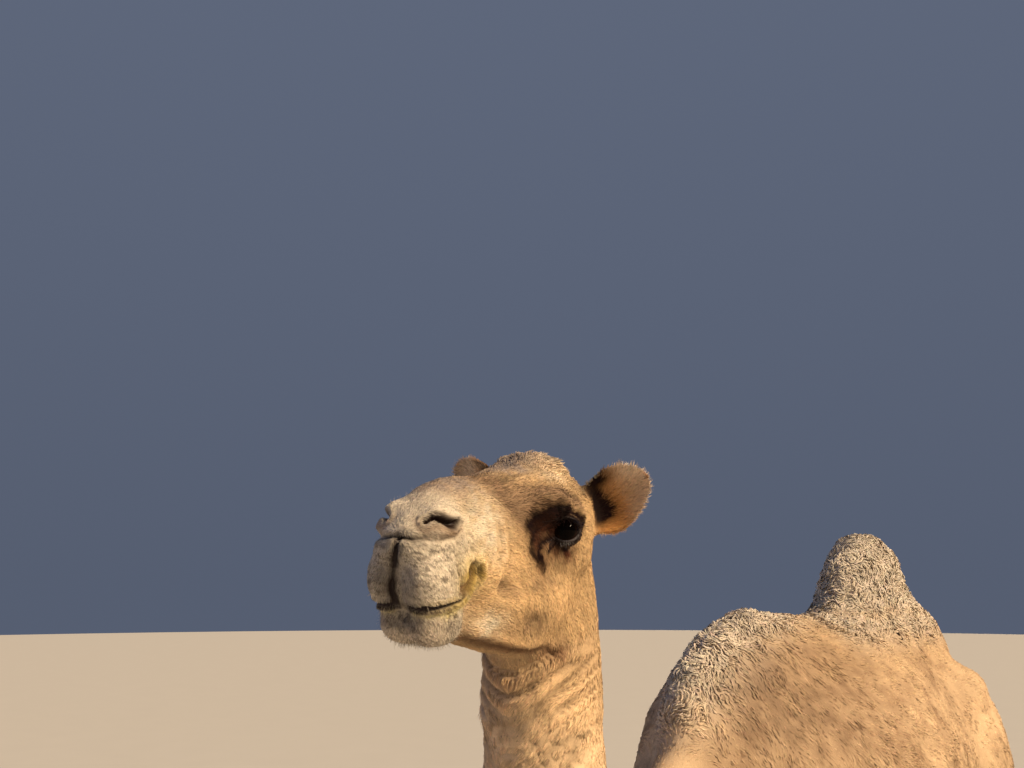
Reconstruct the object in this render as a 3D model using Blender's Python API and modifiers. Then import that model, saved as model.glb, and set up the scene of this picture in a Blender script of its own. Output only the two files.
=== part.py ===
"""A standing dromedary camel, life size, parted into closed solids.

The animal faces -Y with its left side at +X and stands on Z = 0. Lofted slices and rounded masses are fused,
smoothed and thinned to facets, then parted with thin cuts. Sizes run out to the tips of the coat.
"""

import math
from collections import namedtuple

import bmesh
import bpy
from mathutils import Matrix, Vector

COLLECTION = "dromedary"
CM = 0.01  # the tables below are in centimetres
GAP = 0.0004  # clearance left where two solids meet
RING_POINTS = 28
RINGS_PER_SLICE = 4

BODY_VOXEL = 0.011
HEAD_VOXEL = 0.0045
BODY_FACETS = 3600
HEAD_FACETS = 2100
EAR_FACETS = 260

# The head's own frame: its origin lies midway between the eyes, and it is turned a little to the animal's left.
HEAD_FORWARD = 94.2
HEAD_ACROSS = 18.3
HEAD_HEIGHT = 186.5
HEAD_TURN = math.radians(16)
HEAD_DIP = math.radians(1.5)
HEAD_ROLL = math.radians(5)

EYE_RADIUS = 2.3
EYE_SIDE = 8.0
EYE_FORWARD = -1.2

# A slice across a limb, neck or trunk: the centre's place along, across and above the ground, the reach above
# and below that centre (ahead of and behind it on a leg), the half width, and how round the upper half is
# (2 is an ellipse, less is a narrow ridge).
Slice = namedtuple("Slice", "forward across height above below side roof")
# A region that one part is cut out by: its lowest and highest limits along, across and up.
Region = namedtuple("Region", "back front inner outer low high")
# A rounded mass: its centre, its half lengths along, across and up, and how far its long axis dips forwards.
Mass = namedtuple("Mass", "forward across height long wide tall dip")

TRUNK = [
    Slice(-121, 0, 137, 8, 12, 7, 2.0),
    Slice(-114, 0, 138, 14, 18, 13, 2.0),
    Slice(-104, 0, 139, 19, 23, 18, 1.8),
    Slice(-90, 0, 138, 25, 24, 22, 1.7),
    Slice(-75, 0, 136, 31, 20, 23, 1.7),
    Slice(-58, 0, 134, 36, 26, 27, 1.7),
    Slice(-40, 0, 133, 38.5, 33, 30, 1.7),
    Slice(-22, 0, 132, 40.5, 36, 30, 1.6),
    Slice(-5, 0, 132, 41.6, 36, 27, 1.4),
    Slice(5, 0, 132, 39.6, 34, 24, 1.35),
    Slice(13, 0, 131.5, 36.4, 31, 19.5, 1.35),
    Slice(18.5, 0, 131, 32.5, 27, 15.5, 1.4),
    Slice(22.5, 0, 130, 23, 20, 11, 1.6),
    Slice(25.5, 0, 129, 8, 10, 6, 2.0),
]
NECK = [
    Slice(4, 0, 140, 24, 27, 14, 1.7),
    Slice(17, 0, 134, 18.5, 22, 12.5, 1.8),
    Slice(30, 0, 128.5, 15.5, 18, 11.4, 1.8),
    Slice(44, 2, 126.5, 13.5, 15, 10.3, 1.9),
    Slice(58, 6, 128.5, 12.4, 13.2, 9.8, 2.0),
    Slice(69.5, 9.5, 135.5, 11.6, 12, 9.4, 2.0),
    Slice(78, 12.2, 146, 11.0, 11, 9.0, 2.0),
    Slice(82, 14.1, 160, 10.8, 10.2, 8.9, 2.0),
    Slice(82.6, 15.2, 172, 9.2, 9.8, 8.6, 2.0),
    Slice(83.0, 15.1, 183, 8.6, 8.6, 7.4, 2.0),
]
FORE_LEG = [
    Slice(3, 17, 126, 11, 13, 7, 2.0),
    Slice(0, 18, 106, 9.5, 10.5, 6.8, 2.0),
    Slice(1, 17.5, 90, 7.4, 7.0, 5.4, 2.0),
    Slice(2, 16.5, 72, 5.4, 5.4, 4.5, 2.0),
    Slice(2.5, 16, 59, 5.0, 4.8, 4.7, 2.0),
    Slice(3, 15.7, 51, 5.8, 5.4, 5.5, 2.0),
    Slice(2.5, 15.6, 43, 4.7, 4.6, 4.6, 2.0),
    Slice(2, 15.6, 30, 3.5, 3.6, 3.5, 2.0),
    Slice(2.2, 15.6, 18, 3.6, 3.9, 3.8, 2.0),
    Slice(3, 15.6, 12, 4.6, 4.8, 4.9, 2.0),
    Slice(5, 15.6, 5, 6.5, 6.0, 6.4, 2.0),
]
HIND_LEG = [
    Slice(-92, 14, 140, 17, 18, 9, 2.0),
    Slice(-89, 16, 121, 16, 17, 9.5, 2.0),
    Slice(-86, 17, 104, 13, 12, 8, 2.0),
    Slice(-90, 17, 89, 8.6, 8.4, 6.2, 2.0),
    Slice(-98, 16, 75, 6.0, 6.4, 4.8, 2.0),
    Slice(-105, 15, 65, 5.6, 6.2, 4.4, 2.0),
    Slice(-107.5, 14.6, 58, 6.0, 6.0, 4.7, 2.0),
    Slice(-106.5, 14.6, 50, 5.0, 5.0, 4.4, 2.0),
    Slice(-105, 14.8, 36, 3.7, 3.9, 3.6, 2.0),
    Slice(-104, 15, 20, 3.6, 3.9, 3.7, 2.0),
    Slice(-103, 15, 12, 4.4, 4.6, 4.6, 2.0),
    Slice(-101, 15, 5, 6.0, 5.6, 6.0, 2.0),
]
TAIL = [
    Slice(-113, 0, 153, 4.5, 5, 4.5, 2.0),
    Slice(-121, 0, 147, 4, 4, 4, 2.0),
    Slice(-126, 0, 134, 2.8, 2.8, 3, 2.0),
    Slice(-127.5, 0, 118, 2.2, 2.2, 2.4, 2.0),
    Slice(-127, 0, 104, 2.4, 2.4, 2.6, 2.0),
    Slice(-126, 0, 95, 2.8, 2.8, 3.0, 2.0),
    Slice(-125, 0, 86, 1.2, 1.2, 1.4, 2.0),
]
SKULL = [
    Slice(-18.5, 0, -1, 4.0, 5, 4.5, 2.0),
    Slice(-13.5, 0, 0.5, 7.8, 8.5, 7.9, 2.0),
    Slice(-8, 0, 0.5, 9.6, 11, 9.8, 2.0),
    Slice(-3, 0, 0.3, 9.2, 12, 9.3, 2.0),
    Slice(3, 0, -0.6, 8.7, 11, 7.6, 2.0),
    Slice(9, 0, -1.4, 8.3, 10, 6.5, 1.9),
    Slice(15, 0, -2.0, 8.4, 9, 6.0, 2.0),
    Slice(20, 0, -2.4, 8.1, 8, 5.7, 2.1),
    Slice(24, 0, -3.0, 6.6, 7.5, 5.1, 2.1),
    Slice(27.4, 0, -4.0, 4.6, 6, 4.3, 2.0),
    Slice(29.4, 0, -5.4, 2.6, 3.5, 2.6, 2.0),
]
JAW = [
    Slice(-12.5, 0, -9, 4.5, 4.5, 5.0, 2.0),
    Slice(-8, 0, -12.5, 5, 4.6, 6.8, 2.0),
    Slice(0, 0, -13.6, 5, 4.3, 6.6, 2.0),
    Slice(8, 0, -12.8, 4.5, 3.8, 5.4, 2.0),
    Slice(15, 0, -12.0, 4, 3.0, 4.5, 2.0),
    Slice(21, 0, -11.6, 3.5, 2.9, 4.0, 2.0),
    Slice(25.5, 0, -11.4, 2.4, 2.2, 2.8, 2.0),
]
HUMP = [
    Mass(-68, 0, 156, 44, 13.5, 22, 0),
    Mass(-66, 0, 171, 23, 8.6, 22, 3),
]
BODY_PAIRS = [
    Mass(1, 13, 126, 12, 8.5, 22, -10),  # shoulder
    Mass(0, 18, 116, 11, 7, 14, 0),  # upper arm
    Mass(-95, 14, 126, 18, 10, 27, 0),  # thigh
    Mass(-84, 16, 107, 10, 7.5, 13, 0),  # stifle
    Mass(-88, 15, 150, 11, 7, 8, 0),  # point of the hip
]
BODY_SINGLES = [
    Mass(-1, 0, 99, 10, 8.5, 5, 0),  # chest pad
]
HEAD_PAIRS = [
    Mass(0.8, 5.9, 3.6, 6.4, 3.3, 3.0, 8),  # brow
    Mass(-6.0, 6.6, -3.4, 7.6, 3.2, 3.6, 0),  # cheek bone
    Mass(-4, 4.4, -8.4, 9.0, 3.8, 7.8, 0),  # cheek
    Mass(6, 3.2, -7.4, 12.5, 3.4, 6.0, 0),  # side of the mouth
]
HEAD_SINGLES = [
    Mass(-6.5, 0, 7.6, 7.0, 5.6, 3.8, 0),  # crown
]
MUZZLE_PAIRS = [
    Mass(23.2, 2.3, -6.6, 6.7, 3.5, 4.9, 6),  # upper lip
    Mass(24.0, 2.4, 0.0, 5.0, 2.6, 2.9, 14),  # nostril
    Mass(22.5, 1.8, -11.8, 5.0, 3.2, 3.2, 0),  # lower lip
]
EAR_BASE = (-11.5, 8.0, 3.0)
EAR_ALONG = (-0.15, 0.74, 0.65)  # the way the ear points: forwards, outwards, up
EAR_OPENS = (0.88, 0.42, -0.10)
EAR_HALF_LENGTH = 6.2
EAR_HALF_WIDTH = 4.6
EAR_DROOP = 1.1
EAR_HALF_DEPTH = 2.2
EAR_CUP_SHIFT = 1.1
EAR_EXPOSED = 0.72
EAR_VOXEL = 0.003

# A foot: its centre along and across, and the half length and half width of its pad.
Foot = namedtuple("Foot", "forward across half_length half_width")
FEET = {"fore": Foot(7, 15.6, 10.2, 8.8), "hind": Foot(-99, 15, 9.4, 7.8)}
FOOT_HALF_HEIGHT = 5.5
TOE_SPREAD = 0.44
NAIL_SEGMENTS = 10
EYE_SEGMENTS = 16

FAR = 400
SIDES = {"left": 1, "right": -1}
LEG_REGIONS = {"fore": Region(-13, 20, 8.7, 34, 6.5, 103), "hind": Region(-119.5, -70, 6, 36, 6.5, 114)}
FOOT_REGION = Region(0, 0, 2, 36, -20, 6.5)
FOOT_REACH = 30
HUMP_REGION = Region(-104, -36, -30, 30, 171, FAR)
TAIL_REGION = Region(-FAR, -120.8, -12, 12, 70, 160)
# The cuts at either end of the neck: a point on each and the way it faces, forwards and up.
NECK_FRONT_CUT = ((-1.5, -22), (-0.654, -0.756))
NECK_BACK_CUT = ((27, 136), (0.99, 0.124))

Finish = namedtuple("Finish", "colour roughness")
COAT = Finish((0.60, 0.42, 0.25), 0.8)
CORNEA = Finish((0.02, 0.013, 0.01), 0.08)
HORN = Finish((0.13, 0.1, 0.08), 0.45)


def clear_scene():
    for leftover in list(bpy.data.objects):
        bpy.data.objects.remove(leftover, do_unlink=True)
    collection = bpy.data.collections.new(COLLECTION)
    bpy.context.scene.collection.children.link(collection)


def body_frame():
    return Matrix.Identity(4)


def head_frame():
    place = Matrix.Translation(spot(HEAD_FORWARD, HEAD_ACROSS, HEAD_HEIGHT))
    turn = Matrix.Rotation(HEAD_TURN, 4, "Z")
    return place @ turn @ Matrix.Rotation(HEAD_DIP, 4, "X") @ Matrix.Rotation(HEAD_ROLL, 4, "Y")


def spot(forward, across, height):
    """A point of the tables, in metres in its frame: across is X, forwards is -Y."""
    return Vector((across, -forward, height)) * CM


def new_object(name, mesh_data):
    made = bpy.data.objects.new(name, mesh_data)
    bpy.data.collections[COLLECTION].objects.link(made)
    return made


def spread(slices, count):
    """Slices at equal steps between the given ones, on a smooth curve through them."""
    rows = [slices[0]] + list(slices) + [slices[-1]]
    found = []
    for index in range(1, len(rows) - 2):
        four = rows[index - 1 : index + 3]
        for step in range(count):
            t = step / count
            weights = (
                -0.5 * t + t * t - 0.5 * t**3,
                1 - 2.5 * t * t + 1.5 * t**3,
                0.5 * t + 2 * t * t - 1.5 * t**3,
                -0.5 * t * t + 0.5 * t**3,
            )
            found.append(Slice(*(sum(w * v for w, v in zip(weights, column)) for column in zip(*four))))
    return found + [slices[-1]]


def loft(name, slices, frame, side_sign=1):
    """A closed tube through the slices, each ring square to the path."""
    rings = spread(slices, RINGS_PER_SLICE)
    centres = [spot(s.forward, s.across * side_sign, s.height) for s in rings]
    form = bmesh.new()
    loops = []
    for index, piece in enumerate(rings):
        ahead = centres[min(index + 1, len(rings) - 1)] - centres[max(index - 1, 0)]
        ahead.normalize()
        left = (Vector((1, 0, 0)) - ahead * ahead.x).normalized()
        over = ahead.cross(left)
        loop = []
        for number in range(RING_POINTS):
            angle = 2 * math.pi * number / RING_POINTS
            across, upward = math.cos(angle), math.sin(angle)
            power = 2 / (piece.roof if upward > 0 else 2)
            reach = piece.above if upward > 0 else piece.below
            sideways = left * math.copysign(abs(across) ** power, across) * piece.side
            lift = over * math.copysign(abs(upward) ** power, upward) * reach
            loop.append(form.verts.new(centres[index] + (sideways + lift) * CM))
        loops.append(loop)
    for first, second in zip(loops, loops[1:]):
        for number in range(RING_POINTS):
            after = (number + 1) % RING_POINTS
            form.faces.new((first[number], first[after], second[after], second[number]))
    form.faces.new(loops[0])
    form.faces.new(loops[-1])
    bmesh.ops.recalc_face_normals(form, faces=form.faces)
    form.transform(frame)
    data = bpy.data.meshes.new(name)
    form.to_mesh(data)
    form.free()
    return new_object(name, data)


def mass(name, item, frame, side_sign=1, segments=32):
    """One rounded mass of flesh."""
    form = bmesh.new()
    bmesh.ops.create_uvsphere(form, u_segments=segments, v_segments=segments * 5 // 8, radius=1)
    place = Matrix.Translation(spot(item.forward, item.across * side_sign, item.height))
    tilt = Matrix.Rotation(math.radians(item.dip), 4, "X")
    size = Matrix.Diagonal((item.wide * CM, item.long * CM, item.tall * CM, 1))
    form.transform(frame @ place @ tilt @ size)
    data = bpy.data.meshes.new(name)
    form.to_mesh(data)
    form.free()
    return new_object(name, data)


def paired(items, frame):
    return [mass("mass", item, frame, sign) for item in items for sign in (1, -1)]


def apply_modifiers(target):
    graph = bpy.context.evaluated_depsgraph_get()
    data = bpy.data.meshes.new_from_object(target.evaluated_get(graph))
    target.modifiers.clear()
    target.data = data


def joined(name, pieces):
    with bpy.context.temp_override(active_object=pieces[0], selected_editable_objects=pieces):
        bpy.ops.object.join()
    pieces[0].name = name
    return pieces[0]


def fused(name, pieces, voxel, smoothing):
    """The pieces as one skin: joined, remeshed over all of them and relaxed."""
    whole = joined(name, pieces)
    remesh = whole.modifiers.new("Fuse", "REMESH")
    remesh.mode = "VOXEL"
    remesh.voxel_size = voxel
    relax = whole.modifiers.new("Relax", "SMOOTH")
    relax.factor = 0.5
    relax.iterations = smoothing
    apply_modifiers(whole)
    return whole


def thinned(target, facets):
    """Collapses edges until about that many triangles are left."""
    target.data.calc_loop_triangles()
    thin = target.modifiers.new("Facets", "DECIMATE")
    thin.ratio = facets / len(target.data.loop_triangles)
    thin.use_collapse_triangulate = True
    apply_modifiers(target)
    return target


def foot(kind, side_sign):
    """A broad soft pad with two toes ahead of it."""
    size = FEET[kind]
    pad = Mass(size.forward, size.across, 1.5, size.half_length, size.half_width, FOOT_HALF_HEIGHT, 0)
    made = [mass("pad", pad, body_frame(), side_sign)]
    for offset in (TOE_SPREAD, -TOE_SPREAD):
        toe = Mass(size.forward + 0.45 * size.half_length, size.across + offset * size.half_width, 2.0,
                   0.62 * size.half_length, 0.46 * size.half_width, FOOT_HALF_HEIGHT, 12)
        made.append(mass("toe", toe, body_frame(), side_sign))
    return made


def body_form():
    frame = body_frame()
    broad = [loft("trunk", TRUNK, frame), loft("neck", NECK, frame)]
    broad += [mass("hump", item, frame) for item in HUMP]
    broad += [mass("single", item, frame) for item in BODY_SINGLES]
    broad += paired(BODY_PAIRS, frame)
    pieces = [fused("broad", broad, 0.014, 40), loft("tail", TAIL, frame)]
    for sign in (1, -1):
        pieces.append(loft("fore", FORE_LEG, frame, sign))
        pieces.append(loft("hind", HIND_LEG, frame, sign))
        pieces += foot("fore", sign) + foot("hind", sign)
    return fused("body", pieces, BODY_VOXEL, 8)


def head_form():
    frame = head_frame()
    stub = [s._replace(above=s.above * 0.95, below=s.below * 0.95, side=s.side * 0.95) for s in NECK[-4:]]
    pieces = [loft("skull", SKULL, frame), loft("jaw", JAW, frame), loft("neck", stub, body_frame())]
    pieces += [mass("single", item, frame) for item in HEAD_SINGLES]
    pieces += paired(HEAD_PAIRS, frame)
    broad = fused("broad", pieces, HEAD_VOXEL, 30)
    return fused("head", [broad, *paired(MUZZLE_PAIRS, frame)], HEAD_VOXEL, 16)


def ear_form(side_sign):
    """A cupped leaf: an ellipsoid with a like one, shifted towards the opening, cut out of it."""
    along = spot(EAR_ALONG[0], EAR_ALONG[1] * side_sign, EAR_ALONG[2]).normalized()
    opens = spot(EAR_OPENS[0], EAR_OPENS[1] * side_sign, EAR_OPENS[2])
    opens = (opens - along * opens.dot(along)).normalized()
    edge = opens.cross(along)
    turn = Matrix((edge, opens, along)).transposed().to_4x4()
    base = spot(EAR_BASE[0], EAR_BASE[1] * side_sign, EAR_BASE[2] - EAR_DROOP)
    middle = base + along * EAR_HALF_LENGTH * EAR_EXPOSED * CM
    whole = Mass(0, 0, 0, EAR_HALF_DEPTH, EAR_HALF_WIDTH, EAR_HALF_LENGTH, 0)
    leaf = mass("leaf", whole, head_frame() @ Matrix.Translation(middle) @ turn)
    shift = Matrix.Translation(opens * EAR_CUP_SHIFT * CM)
    cup = mass("cup", whole, head_frame() @ shift @ Matrix.Translation(middle) @ turn)
    combine(leaf, cup, "DIFFERENCE")
    return fused("ear", [leaf], EAR_VOXEL, 6)


def combine(target, other, operation):
    """A Boolean of target with other, applied. The other object is then removed."""
    step = target.modifiers.new(operation, "BOOLEAN")
    step.operation = operation
    step.solver = "EXACT"
    step.object = other
    apply_modifiers(target)
    bpy.data.objects.remove(other, do_unlink=True)
    return target


def box(low, high, frame=None):
    """A box between two corners, in metres."""
    form = bmesh.new()
    bmesh.ops.create_cube(form, size=1)
    centre, size = (low + high) / 2, high - low
    form.transform((frame or Matrix.Identity(4)) @ Matrix.Translation(centre) @ Matrix.Diagonal((*size, 1)))
    data = bpy.data.meshes.new("box")
    form.to_mesh(data)
    form.free()
    return new_object("box", data)


def region_box(region, side_sign=1, grow=0.0):
    ends = [spot(region.front, region.inner, region.low), spot(region.back, region.outer, region.high)]
    ends = [Vector((end.x * side_sign, end.y, end.z)) for end in ends]
    low = Vector(map(min, *ends)) - Vector((grow, grow, grow))
    high = Vector(map(max, *ends)) + Vector((grow, grow, grow))
    return box(low, high)


def copy_of(target, name):
    return new_object(name, target.data.copy())


def part_out(rest, name, region, side_sign=1):
    """Cuts the region's share out of rest, with a thin gap, and returns it as its own solid."""
    piece = combine(copy_of(rest, name), region_box(region, side_sign), "INTERSECT")
    combine(rest, region_box(region, side_sign, GAP), "DIFFERENCE")
    return piece


def half_space(cut, frame, grow=0.0):
    """All that lies on the side that the cut faces, moved back by grow."""
    (forward, height), (ahead, up) = cut
    facing = (frame.to_3x3() @ spot(ahead, 0, up)).normalized()
    corner = frame @ spot(forward, 0, height) - facing * grow
    turn = facing.to_track_quat("Z", "Y").to_matrix().to_4x4()
    reach = FAR * CM
    return box(Vector((-reach, -reach, 0)), Vector((reach, reach, reach)), Matrix.Translation(corner) @ turn)


def grown(target, by):
    """A copy of target, swollen along its normals."""
    copy = copy_of(target, "grown")
    swell = copy.modifiers.new("Swell", "DISPLACE")
    swell.strength = by
    swell.mid_level = 0
    apply_modifiers(copy)
    return copy


def nails(kind, side, side_sign, foot_piece):
    """The two toenails, each a cap on the end of its toe."""
    size = FEET[kind]
    made = []
    for label, offset in (("outer", TOE_SPREAD), ("inner", -TOE_SPREAD)):
        place = Mass(size.forward + 1.02 * size.half_length, size.across + offset * size.half_width, 2.6,
                     1.6, 1.9, 1.5, 20)
        nail = mass(f"{kind}_{side}_nail_{label}", place, body_frame(), side_sign, NAIL_SEGMENTS)
        combine(nail, grown(foot_piece, GAP), "DIFFERENCE")
        made.append(nail)
    return made


def painted(target, finish):
    paint = bpy.data.materials.new(target.name)
    paint.use_nodes = True
    shader = paint.node_tree.nodes["Principled BSDF"]
    shader.inputs["Base Color"].default_value = (*finish.colour, 1)
    shader.inputs["Roughness"].default_value = finish.roughness
    target.data.materials.clear()
    target.data.materials.append(paint)


def centred(solids):
    """Moves every solid so that the middle of the whole, as it stands, is over the origin."""
    corners = [point.co for solid in solids for point in solid.data.vertices]
    middle_x = (min(c.x for c in corners) + max(c.x for c in corners)) / 2
    middle_y = (min(c.y for c in corners) + max(c.y for c in corners)) / 2
    floor = min(c.z for c in corners)
    for solid in solids:
        solid.data.transform(Matrix.Translation((-middle_x, -middle_y, -floor)))


def body_parts():
    """The body from the neck back, parted: neck, trunk, hump, tail, legs, feet and nails."""
    body = thinned(body_form(), BODY_FACETS)
    ground = box(spot(FAR, -FAR, -FAR), spot(-FAR, FAR, 0))
    combine(body, ground, "DIFFERENCE")
    combine(body, half_space(NECK_FRONT_CUT, head_frame()), "INTERSECT")
    neck = combine(copy_of(body, "neck"), half_space(NECK_BACK_CUT, body_frame()), "INTERSECT")
    combine(body, half_space(NECK_BACK_CUT, body_frame(), GAP), "DIFFERENCE")
    body.name = "trunk"
    flesh = [body, neck, part_out(body, "hump", HUMP_REGION), part_out(body, "tail", TAIL_REGION)]
    horn = []
    for side, sign in SIDES.items():
        for kind, size in FEET.items():
            flesh.append(part_out(body, f"{kind}_leg_{side}", LEG_REGIONS[kind], sign))
            region = FOOT_REGION._replace(back=size.forward - FOOT_REACH, front=size.forward + FOOT_REACH)
            piece = part_out(body, f"{kind}_foot_{side}", region, sign)
            flesh.append(piece)
            horn += nails(kind, side, sign, piece)
    return flesh, horn


def head_parts():
    """The head, with sockets for its eyes, and its ears."""
    head = thinned(head_form(), HEAD_FACETS)
    combine(head, half_space(NECK_FRONT_CUT, head_frame(), GAP), "DIFFERENCE")
    flesh, eyes = [head], []
    for side, sign in SIDES.items():
        ear = thinned(ear_form(sign), EAR_FACETS)
        ear.name = "ear_" + side
        combine(ear, grown(head, GAP), "DIFFERENCE")
        flesh.append(ear)
        ball = Mass(EYE_FORWARD, EYE_SIDE, 0, EYE_RADIUS, EYE_RADIUS, EYE_RADIUS, 0)
        eyes.append(mass("eye_" + side, ball, head_frame(), sign, EYE_SEGMENTS))
        room = EYE_RADIUS + GAP / CM
        socket = ball._replace(long=room, wide=room, tall=room)
        combine(head, mass("socket", socket, head_frame(), sign, EYE_SEGMENTS), "DIFFERENCE")
    return flesh, eyes


def main():
    clear_scene()
    head_flesh, eyes = head_parts()
    body_flesh, horn = body_parts()
    for solids, finish in ((head_flesh + body_flesh, COAT), (eyes, CORNEA), (horn, HORN)):
        for solid in solids:
            painted(solid, finish)
    centred(head_flesh + body_flesh + eyes + horn)


if __name__ == "__main__":
    main()
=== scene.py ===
"""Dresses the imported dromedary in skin, coat, eyes and nails, and sets it on a pale studio floor.

The animal faces -Y with its left side at +X. One skin is fused from copies of the solids, laid inside them
by the coat's depth and given its lids, lips, nostrils and folds. Tufts of solid mesh then follow the lie of
the coat.
"""

import itertools
import math
from collections import namedtuple
from contextlib import contextmanager

import bmesh
import bpy
import numpy as np
from bpy.props import FloatProperty, FloatVectorProperty, PointerProperty
from mathutils import Matrix, Vector
from mathutils.bvhtree import BVHTree


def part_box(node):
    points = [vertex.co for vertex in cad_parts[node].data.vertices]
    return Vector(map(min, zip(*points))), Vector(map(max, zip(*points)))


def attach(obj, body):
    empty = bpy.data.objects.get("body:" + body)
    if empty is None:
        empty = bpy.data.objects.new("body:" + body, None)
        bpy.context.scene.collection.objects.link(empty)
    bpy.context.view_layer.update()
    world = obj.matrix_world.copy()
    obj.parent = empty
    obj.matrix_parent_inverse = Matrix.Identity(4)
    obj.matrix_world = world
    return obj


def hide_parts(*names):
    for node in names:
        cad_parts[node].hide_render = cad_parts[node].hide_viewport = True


bl_info = {
    "name": "Dromedary dresser",
    "version": (1, 0, 0),
    "blender": (4, 5, 0),
    "location": "View3D > Sidebar > Dromedary",
    "description": "Skin, coat, eyes, nails and studio for a standing dromedary",
    "category": "Object",
}

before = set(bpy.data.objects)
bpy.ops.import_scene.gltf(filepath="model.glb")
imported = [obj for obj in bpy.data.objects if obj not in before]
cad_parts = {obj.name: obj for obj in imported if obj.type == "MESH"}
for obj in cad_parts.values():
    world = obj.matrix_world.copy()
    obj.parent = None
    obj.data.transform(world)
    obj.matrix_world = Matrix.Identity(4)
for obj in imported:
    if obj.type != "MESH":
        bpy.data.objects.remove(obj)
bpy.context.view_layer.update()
SEED = 11
CM = 0.01
SIDES = {"left": 1, "right": -1}
ENDS = ("fore", "hind")

LEGS = [f"{end}_{part}_{side}" for end in ENDS for part in ("leg", "foot") for side in SIDES]
EARS = ["ear_left", "ear_right"]
EYES = ["eye_left", "eye_right"]
NAILS = [f"{end}_{side}_nail_{place}" for end in ENDS for side in SIDES for place in ("inner", "outer")]
FLESH = ["head", *EARS, "neck", "trunk", "hump", "tail", *LEGS]

# The head's own frame is turned a little to the animal's left. Its points are (forward, across, up) in
# centimetres from midway between the eyes, and the eyes' centres lie a little behind that.
HEAD_TURN = math.radians(16)
HEAD_DIP = math.radians(1.5)
HEAD_ROLL = math.radians(5)
EYES_BEHIND = 1.2
EYE_SIDE = 8.0
EYE_RADIUS = 2.28

EYE_WHITE = "#1A0E09"  # a dromedary's is nearly as dark as its iris
PAINTED_WET_GLINT = "#7C7A80"  # painted reflection of the sky on the wet edges of the lower lids

BODY_VOXEL = 0.016
BODY_SMOOTHING = 16
HEAD_VOXEL = 0.0046
HEAD_SMOOTHING = 12
SMOOTHING_PULLS = (0.5, -0.52)  # each round draws the vertices in and then out again, so that nothing shrinks
OVERLAP = 0.0008  # each copy grows this much, so that it reaches its neighbours over the cuts between them
EAR_OVERLAP = 0.002
SOLE_HEIGHT = 0.0008  # the skin stays this far above the floor
NECK_SEAM = 1.585  # height where the fine mesh of the head meets the coarser one of the body
SEAM_BAND = 0.008
NECK_FRONT = -0.62  # everything ahead of this is head or neck


def linear(code):
    """An sRGB hex colour as linear red, green and blue."""
    found = []
    for start in (1, 3, 5):
        value = int(code[start : start + 2], 16) / 255
        found.append(value / 12.92 if value <= 0.04045 else ((value + 0.055) / 1.055) ** 2.4)
    return found


def colour_setting(name, description, code):
    return FloatVectorProperty(name=name, description=description, subtype="COLOR", size=3, min=0, max=1,
                               default=linear(code))


def length_setting(name, description, metres):
    return FloatProperty(name=name, description=description, subtype="DISTANCE", unit="LENGTH", min=0, max=1,
                         default=metres)


class CoatSettings(bpy.types.PropertyGroup):
    """Colours and lengths of the coat."""

    gold: colour_setting("Gold", "Cheeks", "#C2A277")
    sand: colour_setting("Sand", "Neck and lighter parts of the body", "#DABB94")
    cream: colour_setting("Cream", "Side of the nose", "#D0C3AA")
    muzzle: colour_setting("Muzzle", "Lips and chin", "#C4B8A4")
    # This colour is the dark bare skin of the lips, and it also paints the shade in the nostrils, in the fold
    # under them, in the groove of the upper lip and along the line of the mouth.
    mark: colour_setting("Mark", "Bare dark skin that shows between the hairs of the lips", "#332824")
    straw: colour_setting("Straw", "Bits of fodder along the edge of the lower lip", "#D6C994")
    stain: colour_setting("Stain", "Food stain at the edge of the lips", "#B49A50")
    # This colour also paints the shade deep in the nostrils and at the roots of the ears, and the shadow
    # under the edge of the brow.
    dark: colour_setting("Dark", "Round the eyes and the base of the ears", "#1A0A04")
    # This colour also paints the shadow under the jaw and the shade in the pockets at the corners of the
    # mouth.
    umber: colour_setting("Umber", "Soft brown round the dark of the eyes", "#55301F")
    brow: colour_setting("Brow", "Brow and the top of the nose", "#826A52")
    crown: colour_setting("Crown", "Woolly front of the crown", "#9A8A7C")
    ear: colour_setting("Ear", "Inside of the ears", "#C08C52")
    wool: colour_setting("Wool", "Curly wool on the withers and the hump", "#C4B9A8")
    shoulder: colour_setting("Brown", "Darker parts of the shoulders and flanks", "#785E46")
    pale: colour_setting("Pale", "Belly and the insides of the legs", "#DCCBB4")
    callus: colour_setting("Callus", "Bare pads of the chest, elbows and knees", "#8F7A68")
    switch: colour_setting("Switch", "End of the tail", "#3E2C20")
    face_length: length_setting("Face hair", "Length of the hair on the face", 0.010)
    body_length: length_setting("Body hair", "Length of the tufts on the neck and the trunk", 0.018)
    wool_length: length_setting("Wool", "Length of the curls on the withers and the hump", 0.026)
    lash_length: length_setting("Lashes", "Length of the eyelashes", 0.022)
    switch_length: length_setting("Switch", "Length of the hair at the end of the tail", 0.14)


class EyeSettings(bpy.types.PropertyGroup):
    """Colours of the eyes and the nails."""

    iris: colour_setting("Iris", "Dark brown iris", "#0A0503")
    pupil: colour_setting("Pupil", "Level oval pupil", "#050302")
    nail: colour_setting("Nail", "Horn of the toenails", "#4A3A2E")


class StageSettings(bpy.types.PropertyGroup):
    """The floor, the light and the camera."""

    floor: colour_setting("Floor", "Painted studio floor", "#BEB9AF")
    sky: colour_setting("Surround", "Soft light from all round", "#BCCDF2")
    key: colour_setting("Key", "Warm soft key light", "#FFE4C0")
    cool: colour_setting("Cool", "Bluish light on the shaded side", "#5C82FF")
    key_power: FloatProperty(name="Key power", description="Watts of key light on each square metre", min=0,
                             default=6.0)
    sky_power: FloatProperty(name="Surround power", description="Strength of the light from all round", min=0,
                             default=0.23)
    lens: FloatProperty(name="Lens", description="Focal length in millimetres", min=10, max=200,
                        default=38.672)


# --------------------------------------------------------------------------------------------------
# Numbers over many points at once


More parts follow.
